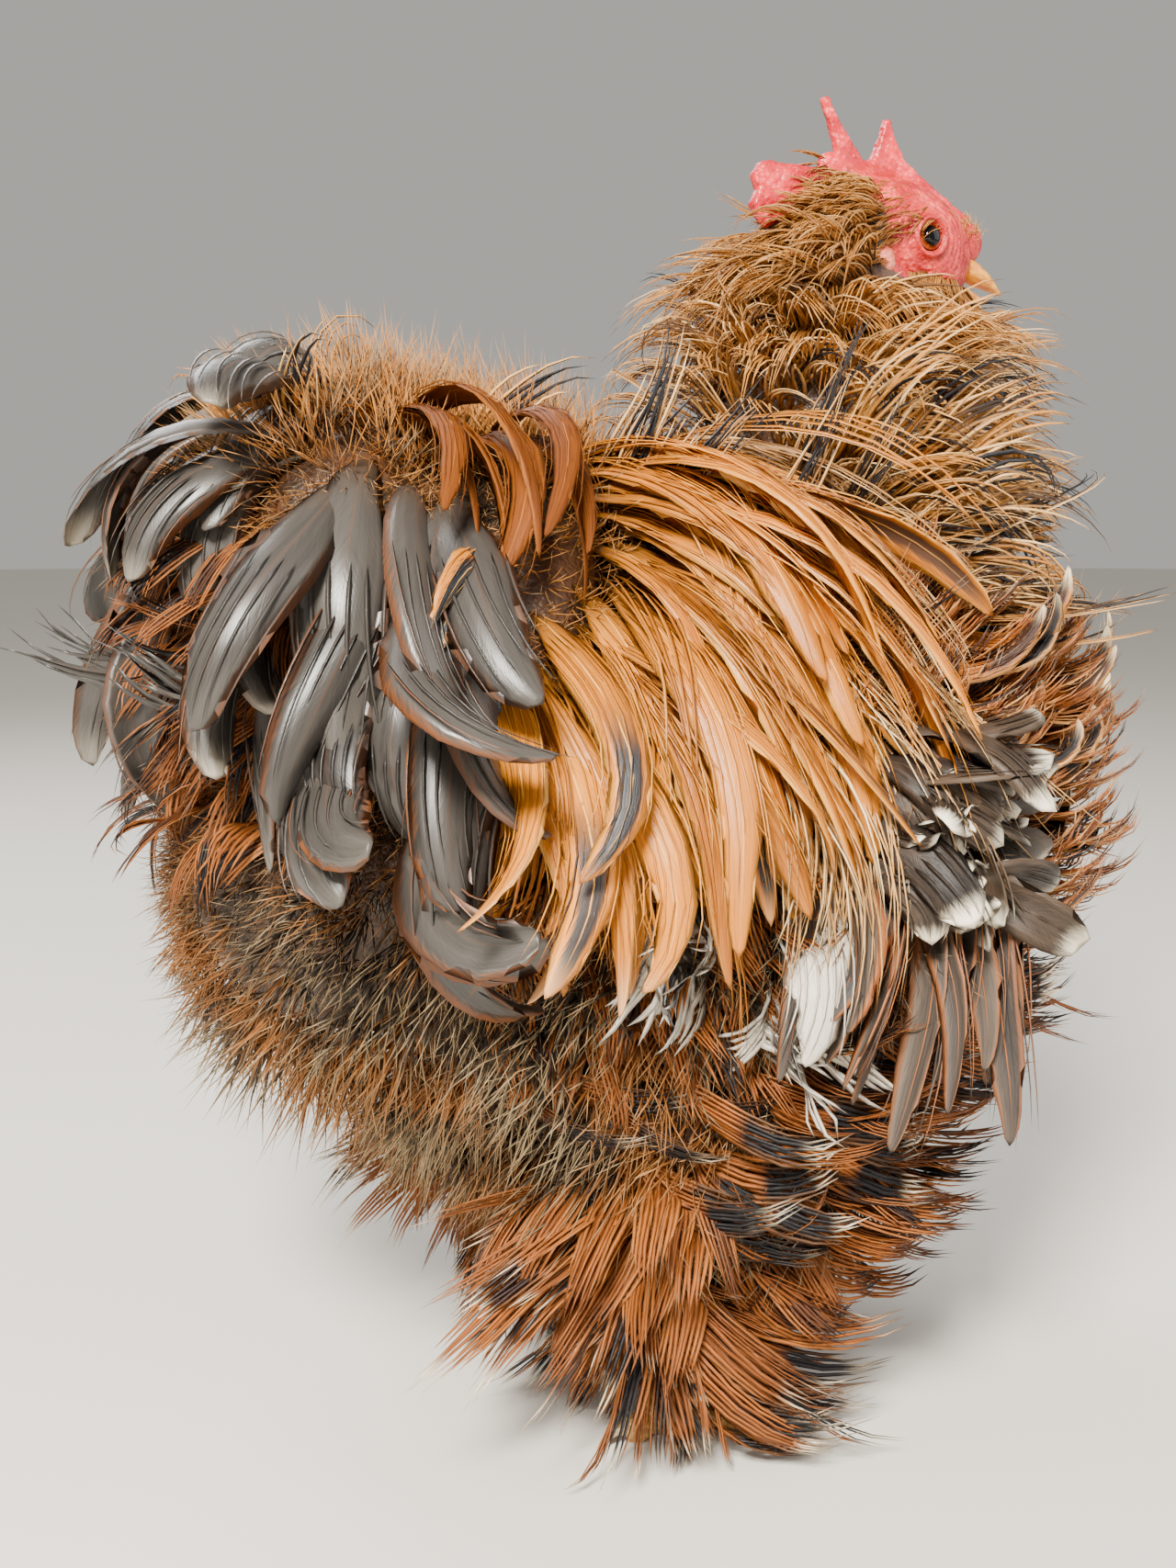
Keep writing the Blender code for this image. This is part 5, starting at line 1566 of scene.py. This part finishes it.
            ((-15, 50, 70), (-35, 50, 68), (-60, 50, 55), (-80, 48, 46)),
            ((-5, 45, 50), (0, 30, 42), (12, 20, 22), (30, 18, 8)),
            ((-12, 60, 50), (-24, 82, 42), (-32, 92, 22), (-34, 92, 6)),
            ((-12, 48, 45), (-26, 34, 38), (-36, 28, 20), (-44, 26, 6)),
            ((-4, 58, 40), (-4, 80, 34), (-4, 92, 16), (4, 94, 4)),
            ((2, 58, 34), (8, 74, 28), (14, 86, 14), (22, 88, 4)),
            ((-8, 56, 36), (-14, 74, 30), (-16, 88, 14), (-14, 92, 4)),
        ), Growth(0.012, cut=STRINGY, slate=1.2, slate_share=0.4, gold=0.2, pale=1.5,
                  tone=(0.0, 0.7), twist=0.7, unruly=0.13), 6, 0.007),
    )),
    Coat("shank_coat", THIGH_FINISH, "fluff", (
        Cuff(((0.066, 12, 0.042), (0.056, 12, 0.042), (0.046, 12, 0.04), (0.036, 11, 0.036),
              (0.026, 10, 0.03)), Growth(
            0.0105, (0.0, 0.0), Lie(0.9, 0.0, -0.1), Lie(0.5, 0.25, -0.7), STRINGY,
            slate=1.0, slate_share=0.35, gold=0.2, pale=0.8, tone=(0.1, 0.9), unruly=0.2)),
    )),
)


@dataclass
class Claws:
    """The claws, which are more worn towards their tips."""

    ends: Span = (0.035, 0.06)

    def build(self) -> None:
        """Rounds the claws of each foot into one piece."""
        finish = CLAW_FINISH.material()
        for side in ("left", "right"):
            nodes = [f"claw_{side}_{toe}" for toe in ("outer", "middle", "inner", "hind")]
            claws = remeshed(node_copy(*nodes), f"claws_{side}", 0.00035, 3)
            low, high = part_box(f"foot_{side}")
            middle = (low + high) / 2
            points = points_of(claws.data)
            reach = np.linalg.norm(points[:, :2] - np.array(middle[:2]), axis=1)
            set_share(claws.data, "wear", smooth(reach, *self.ends) * 0.7)
            dressed(claws, finish, "claw_horn", *nodes)


@dataclass
class Down:
    """The soft down, sown over the skin by Geometry Nodes as tufts of fine blades."""

    blades: int = 10
    length: float = 0.021
    width: float = 0.00055
    lean: float = 0.45
    tuft_r: float = 0.003
    twine: float = 2.4

    def tuft(self) -> Thing:
        """One tuft that stands on the origin, its blades leaning apart."""
        chance = chance_of("tuft")
        count = self.blades
        turns = np.arange(count) * self.twine
        lean = np.sqrt(np.arange(count) / count) * self.lean
        starts = unit(fanned(turns, lean, 1.0))
        curl = starts + fanned(turns + 1, 1.0, 0.0) * 0.6
        normals = np.tile(FORE, (count, 1))
        roots = fanned(turns, lean, 0.0) * self.tuft_r
        flock = Flock(roots, normals, unit(starts), starts, starts, unit(curl),
                      self.length * chance.uniform(0.7, 1.1, count), np.full(count, self.width),
                      np.zeros(count), chance.random(count), np.zeros((count, 3)))
        plumes = Plumes("tuft")
        plumes.add(flock, replace(HAIR, rings=2), Bare())
        return plumes.piece()

    @staticmethod
    def plan() -> tuple[bpy.types.NodeTree, dict[str, str]]:
        """The Geometry Nodes tree that sows tufts, and the identifiers of its named inputs."""
        group = bpy.data.node_groups.new("sow_down", "GeometryNodeTree")
        for name, kind in (("Skin", "Geometry"), ("Tuft", "Object"), ("Where", "String"), ("Apart", "Float"),
                           ("Most", "Float"), ("Size", "Float"), ("Lean", "Float"), ("Seed", "Int"),
                           ("Finish", "Material")):
            group.interface.new_socket(name, in_out="INPUT", socket_type=f"NodeSocket{kind}")
        group.interface.new_socket("Down", in_out="OUTPUT", socket_type="NodeSocketGeometry")
        tree = Tree(group)
        entry = group.nodes.new("NodeGroupInput")
        given = {socket.name: Value(tree, socket) for socket in entry.outputs if socket.name}

        def named(name: object, kind: str) -> Value:
            """A named attribute of the geometry."""
            return tree.node("GeometryNodeInputNamedAttribute", {"data_type": kind}, {"Name": name})

        def vector(operation: str, *inputs: object) -> Value:
            """A Vector Math node."""
            return tree.node("ShaderNodeVectorMath", {"operation": operation}, dict(enumerate(inputs)))

        def scaled(way: Value, size: object) -> Value:
            """A vector times a number."""
            return tree.node("ShaderNodeVectorMath", {"operation": "SCALE"}, {0: way, "Scale": size})

        def chosen(low: float, high: float, seed: int) -> Value:
            """A random number for each tuft."""
            return tree.node("FunctionNodeRandomValue", {"data_type": "FLOAT"},
                             {2: low, 3: high, "Seed": seed}, 1)

        def stored(shape: Value, name: str, value: Value, kind: str, domain: str = "POINT") -> Value:
            """The shape with a named attribute."""
            return tree.node("GeometryNodeStoreNamedAttribute", {"data_type": kind, "domain": domain},
                             {"Geometry": shape, "Name": name, "Value": value})

        sown = tree.node("GeometryNodeDistributePointsOnFaces", {"distribute_method": "POISSON"}, {
            "Mesh": given["Skin"], "Distance Min": given["Apart"], "Density Max": given["Most"],
            "Density Factor": named(given["Where"], "FLOAT"), "Seed": given["Seed"]})
        normal = Value(tree, sown.socket.node.outputs["Normal"])
        wild = tree.node("FunctionNodeRandomValue", {"data_type": "FLOAT_VECTOR"}, {
            "Min": (-0.34, -0.34, -0.34), "Max": (0.34, 0.34, 0.34), "Seed": 3})
        way = vector("ADD", vector("ADD", scaled(normal, 1 - given["Lean"]),
                                   scaled(named("lay", "FLOAT_VECTOR"), given["Lean"])), wild)
        size = chosen(0.7, 1.15, 5) * given["Size"] * named("down_size", "FLOAT")
        broad = size * 0.5 + 0.6
        tone = chosen(0.0, 1.0, 7)
        held = stored(sown, "root_uv", named("OFBake", "FLOAT_VECTOR"), "FLOAT_VECTOR")
        toned = stored(held, "tone", tone, "FLOAT")
        aimed = tree.node("FunctionNodeAlignRotationToVector", {"axis": "Z"}, {"Vector": way})
        tuft = tree.node("GeometryNodeObjectInfo", {}, {"Object": given["Tuft"]}, "Geometry")
        set_out = tree.node("GeometryNodeInstanceOnPoints", {}, {
            "Points": toned, "Instance": tuft, "Rotation": aimed,
            "Scale": tree.node("ShaderNodeCombineXYZ", {}, {0: broad, 1: broad, 2: size})})
        real = tree.node("GeometryNodeRealizeInstances", {}, {"Geometry": set_out})
        patch = scaled(named("plume", "FLOAT_VECTOR"), PATCH)
        place = vector("ADD", named("root_uv", "FLOAT_VECTOR"), patch)
        mapped = stored(real, "OFBake", place, "FLOAT2", "CORNER")
        ended = tree.node("GeometryNodeSetMaterial", {}, {"Geometry": mapped, "Material": given["Finish"]})
        leave = group.nodes.new("NodeGroupOutput")
        tree.feed(leave.inputs[0], ended)
        names = {item.name: item.identifier for item in group.interface.items_tree if item.in_out == "INPUT"}
        return group, names

    def build(self, skin: Skin) -> None:
        """Sows the down of the belly, the rear, the back and between the feathers' roots."""
        tuft = self.tuft()
        group, names = self.plan()
        fields = (
            ("belly_fluff_left", "down_belly_left", 0.0043, 1.2, 0.5, BELLY_DOWN, "fluff"),
            ("belly_fluff_right", "down_belly_right", 0.0043, 1.2, 0.5, BELLY_DOWN, "fluff"),
            ("rear_fluff", "down_rear", 0.0043, 1.2, 0.45, REAR_DOWN, "fluff"),
            ("parting_fluff", "down_part", 0.0037, 0.8, 0.3, BACK_DOWN, "saddle_feather"),
            ("crest_fluff", "down_crest", 0.0032, 1.75, 0.45, BACK_DOWN, "saddle_feather"),
            ("under_fluff", "down_under", 0.0105, 1.05, 0.5, REAR_DOWN, "fluff"),
        )
        for seed, (name, where, apart, size, lean, finish, slot) in enumerate(fields):
            ground = put(f"{name}_ground", skin.piece.data.copy())
            sower = ground.modifiers.new("sower", "NODES")
            sower.node_group = group
            material = finish.material()
            for key, value in {"Tuft": tuft, "Where": where, "Apart": apart, "Most": 0.9 / apart ** 2,
                               "Size": size, "Lean": lean, "Seed": seed, "Finish": material}.items():
                sower[names[key]] = value
            made = baked(ground, name)
            set_points(made.data, kept_inside(points_of(made.data)))
            made.data.shade_smooth()
            dressed(made, material, slot)
        bpy.data.objects.remove(tuft, do_unlink=True)


class Bare:
    """Stands in for the skin where a tuft is made on its own."""

    @staticmethod
    def uv_near(points: Rows) -> Rows:
        """The unwrap's corner for each point."""
        return np.zeros((len(points), 2))


@dataclass
class Head:
    """What sits on the face: comb, bill, eyes, lobes, wattles and bristles."""

    eye_r: float = 0.0052
    bulge: float = 0.0004
    spikes: tuple = (((0.085, 0, 0.388), (0.0742, 0, 0.4086)), ((0.0968, 0, 0.388), (0.0976, 0, 0.4036)))
    culmen: tuple[Point, Point] = ((0.121, 0, 0.361), (0.1425, 0, 0.3515))

    def comb(self) -> None:
        """The comb, pebbled and a little wavy."""
        comb = remeshed(node_copy("comb"), "comb_single", 0.00055, 6)
        mesh = comb.data
        points, normals = points_of(mesh), points_of(mesh, "normal")
        low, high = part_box("comb")
        above = smooth(points[:, 2], low.z + 0.004, high.z)
        sway = np.sin(points[:, 0] * 150) * 0.0016 + np.sin(points[:, 0] * 61 + points[:, 2] * 90) * 0.0012
        points[:, 1] += sway * above
        for root, tip in self.spikes:
            base, end = (np.array(laid(p)) for p in (root, tip))
            run = end - base
            share = np.clip((points - base) @ run / (run @ run), 0, 1)
            near = 1 - smooth(np.linalg.norm((points - base - share[:, None] * run)[:, [0, 2]], axis=1),
                              0.005, 0.0075)
            middle = base + share[:, None] * run
            slim = 1 - 0.52 * smooth(share, 0.0, 1.0) * near * (share > 0)
            points = middle + (points - middle) * slim[:, None]
        lumps = pebbled(points, 0.0016) * 0.00045 + pebbled(points, 0.0045) * 0.0005
        set_points(mesh, points + normals * lumps[:, None])
        mesh.shade_smooth()
        dressed(comb, COMB_FINISH.material(), "comb_skin", "comb")

    def bill(self) -> None:
        """The two halves of the bill, browner along the ridge."""
        finish = BEAK_FINISH.material()
        root, tip = (np.array(laid(p)) for p in self.culmen)
        for half in ("upper", "lower"):
            bill = remeshed(node_copy(f"beak_{half}"), f"bill_{half}", 0.00035, 4)
            points = points_of(bill.data)
            share = np.clip((points[:, 0] - root[0]) / (tip[0] - root[0]), 0, 1)
            if half == "upper":
                ridge = 1 - smooth(np.abs(points[:, 1]), 0.001, 0.0042)
                top = smooth(points[:, 2] - (root[2] + (tip[2] - root[2]) * share), 0.0, 0.0045)
                wear = ridge * (0.35 + 0.65 * top) * (1 - 0.35 * share)
            else:
                wear = 0.25 * (1 - share)
            set_share(bill.data, "wear", wear)
            bill.data.shade_smooth()
            dressed(bill, finish, "beak_horn", f"beak_{half}")

    def eyes(self) -> None:
        """The eyes, each a ball with a clear bulge over the iris."""
        finish = EYE_FINISH.material()
        for name, side in (("left", 1), ("right", -1)):
            look = Vector((LOOK[0], LOOK[1] * side, LOOK[2])).normalized()
            centre = laid(EYE_AT, side)
            form = bmesh.new()
            turn = look.to_track_quat("Z", "Y").to_matrix().to_4x4()
            bmesh.ops.create_uvsphere(form, u_segments=64, v_segments=64, radius=self.eye_r,
                                      matrix=Matrix.Translation(centre) @ turn)
            eye = form_object(f"eyeball_{name}", form)
            points = points_of(eye.data)
            away = unit(points - np.array(centre))
            angle = np.degrees(np.arccos(np.clip(away @ np.array(look), -1, 1)))
            raised = self.bulge * (1 - smooth(angle, 20, 46))
            set_points(eye.data, points + away * raised[:, None])
            set_share(eye.data, "gaze", angle / 90)
            eye.data.shade_smooth()
            dressed(eye, finish, "eye", f"eye_{name}")

    def flesh(self) -> None:
        """The lobes behind the face and the small wattles."""
        for kind, finish in (("earlobe", LOBE_FINISH), ("wattle", COMB_FINISH)):
            material = finish.material()
            for side in ("left", "right"):
                node = f"{kind}_{side}"
                lump = remeshed(node_copy(node), f"{kind}_flesh_{side}", 0.0005, 4)
                mesh = lump.data
                points, normals = points_of(mesh), points_of(mesh, "normal")
                set_points(mesh, points + normals * (pebbled(points, 0.0015) * 0.0003)[:, None])
                mesh.shade_smooth()
                dressed(lump, material, "comb_skin", node)

    def hairs(self, skin: Skin) -> None:
        """Ear tufts and the fine bristles over the bill and the face."""
        ear = Growth(0.0022, (0.009, 0.012), Lie(0.5, -0.8, -0.1), Lie(0.3, -0.8, -0.5), SHORT,
                     tone=(0.8, 1.0), gold=0.6)
        brow = Growth(0.00036, (0.005, 0.009), Lie(0.8, -0.3, 0.5), Lie(0.3, -1.0, -0.1), HAIR,
                      tone=(0.9, 1.0), gold=1.0, pale=1.0, unruly=0.35)
        cheek = Growth(0.00028, (0.0035, 0.005), Lie(0.6, -0.6, -0.3), Lie(0.3, -0.8, -0.8), HAIR,
                       tone=(0.3, 1.0), unruly=0.3)
        tracts = (
            Tract((0.09, 0.01, 0.36), (70, 116), (12, -14), 4, 7, ear, Side.BOTH),
            Tract((0.1265, 0, 0.3665), (-130, 130), (78, 0), 8, 20, brow),
            Tract((0.106, 0, 0.364), (18, 90), (44, -24), 9, 14, cheek, Side.BOTH),
        )
        Coat("face_bristles", HACKLE_FINISH, "hackle_feather", tracts).build(skin)

    def build(self, skin: Skin) -> None:
        """Makes all that sits on the face."""
        self.comb()
        self.bill()
        self.eyes()
        self.flesh()
        self.hairs(skin)


@dataclass(frozen=True)
class Lamp:
    """A soft square light: its place, size and power."""

    name: str
    place: Point
    size: float
    power: float
    tint: tuple[float, float, float] = (1.0, 1.0, 1.0)


@dataclass
class Studio:
    """The floor, the light and the camera at the photograph's angle."""

    lamps: tuple[Lamp, ...] = (
        Lamp("key_light", (-0.75, -1.15, 1.2), 0.4, 112.0, (1.0, 0.95, 0.86)),
        Lamp("fill_light", (1.25, -0.75, 0.75), 1.2, 12.0),
        Lamp("rim_light", (-0.3, 1.2, 1.3), 0.9, 22.0),
    )
    aim: Point = (0.0, 0.0, 0.2)
    eye: Point = (-0.2323, -0.5749, 0.28)
    heading: float = -22.0
    fall: float = 8.0
    lens: float = 45.0
    sensor: float = 36.0
    shift: float = -20 / 1707
    floor_r: float = 9.0
    floor_tone: Ink = (226, 222, 214)
    glow: Ink = (236, 232, 225)
    glow_power: float = 0.55

    def build(self) -> None:
        """Sets up the floor, the lights, the backdrop's glow and the camera."""
        form = bmesh.new()
        bmesh.ops.create_circle(form, cap_ends=True, segments=96, radius=self.floor_r)
        floor = form_object("floor", form)
        floor.data.materials.append(FloorFinish("pale_floor", self.floor_tone).material())
        aim = laid(self.aim)
        for lamp in self.lamps:
            data = bpy.data.lights.new(lamp.name, "AREA")
            data.energy, data.size, data.color = lamp.power, lamp.size, lamp.tint
            light = put(lamp.name, data)
            light.location = lamp.place
            light.rotation_euler = (aim - Vector(lamp.place)).to_track_quat("-Z", "Y").to_euler()
        world = bpy.data.worlds.new("studio")
        world.use_nodes = True
        glow = world.node_tree.nodes["Background"]
        glow.inputs["Color"].default_value = linear(self.glow)
        glow.inputs["Strength"].default_value = self.glow_power
        bpy.context.scene.world = world
        lens = bpy.data.cameras.new("camera")
        lens.lens, lens.sensor_width, lens.shift_x = self.lens, self.sensor, self.shift
        camera = put("camera", lens)
        camera.location = laid(self.eye)
        camera.rotation_euler = (math.radians(90 - self.fall), 0, math.radians(self.heading))
        bpy.context.scene.camera = camera


FLESH_NODES = ("head", "neck", "torso", "saddle", "tail", "wing_left", "wing_right", "thigh_left",
               "thigh_right", "shank_left", "shank_right", "foot_left", "foot_right")


def main() -> None:
    """Builds the whole bird, piece by piece, and the studio round it."""
    logging.basicConfig(level=logging.INFO, format="%(name)s: %(message)s")
    # Without a seed, the vector noise takes its offsets from the clock.
    noise.seed_set(NOISE_SEED)
    skin = Skin()
    skin.build()
    dressed(skin.piece, FACE_FINISH.material(), "face_skin", *FLESH_NODES)
    Head().build(skin)
    for coat in PLUMAGE:
        coat.build(skin)
    Claws().build()
    Down().build(skin)
    Studio().build()


if __name__ == "__main__":
    main()
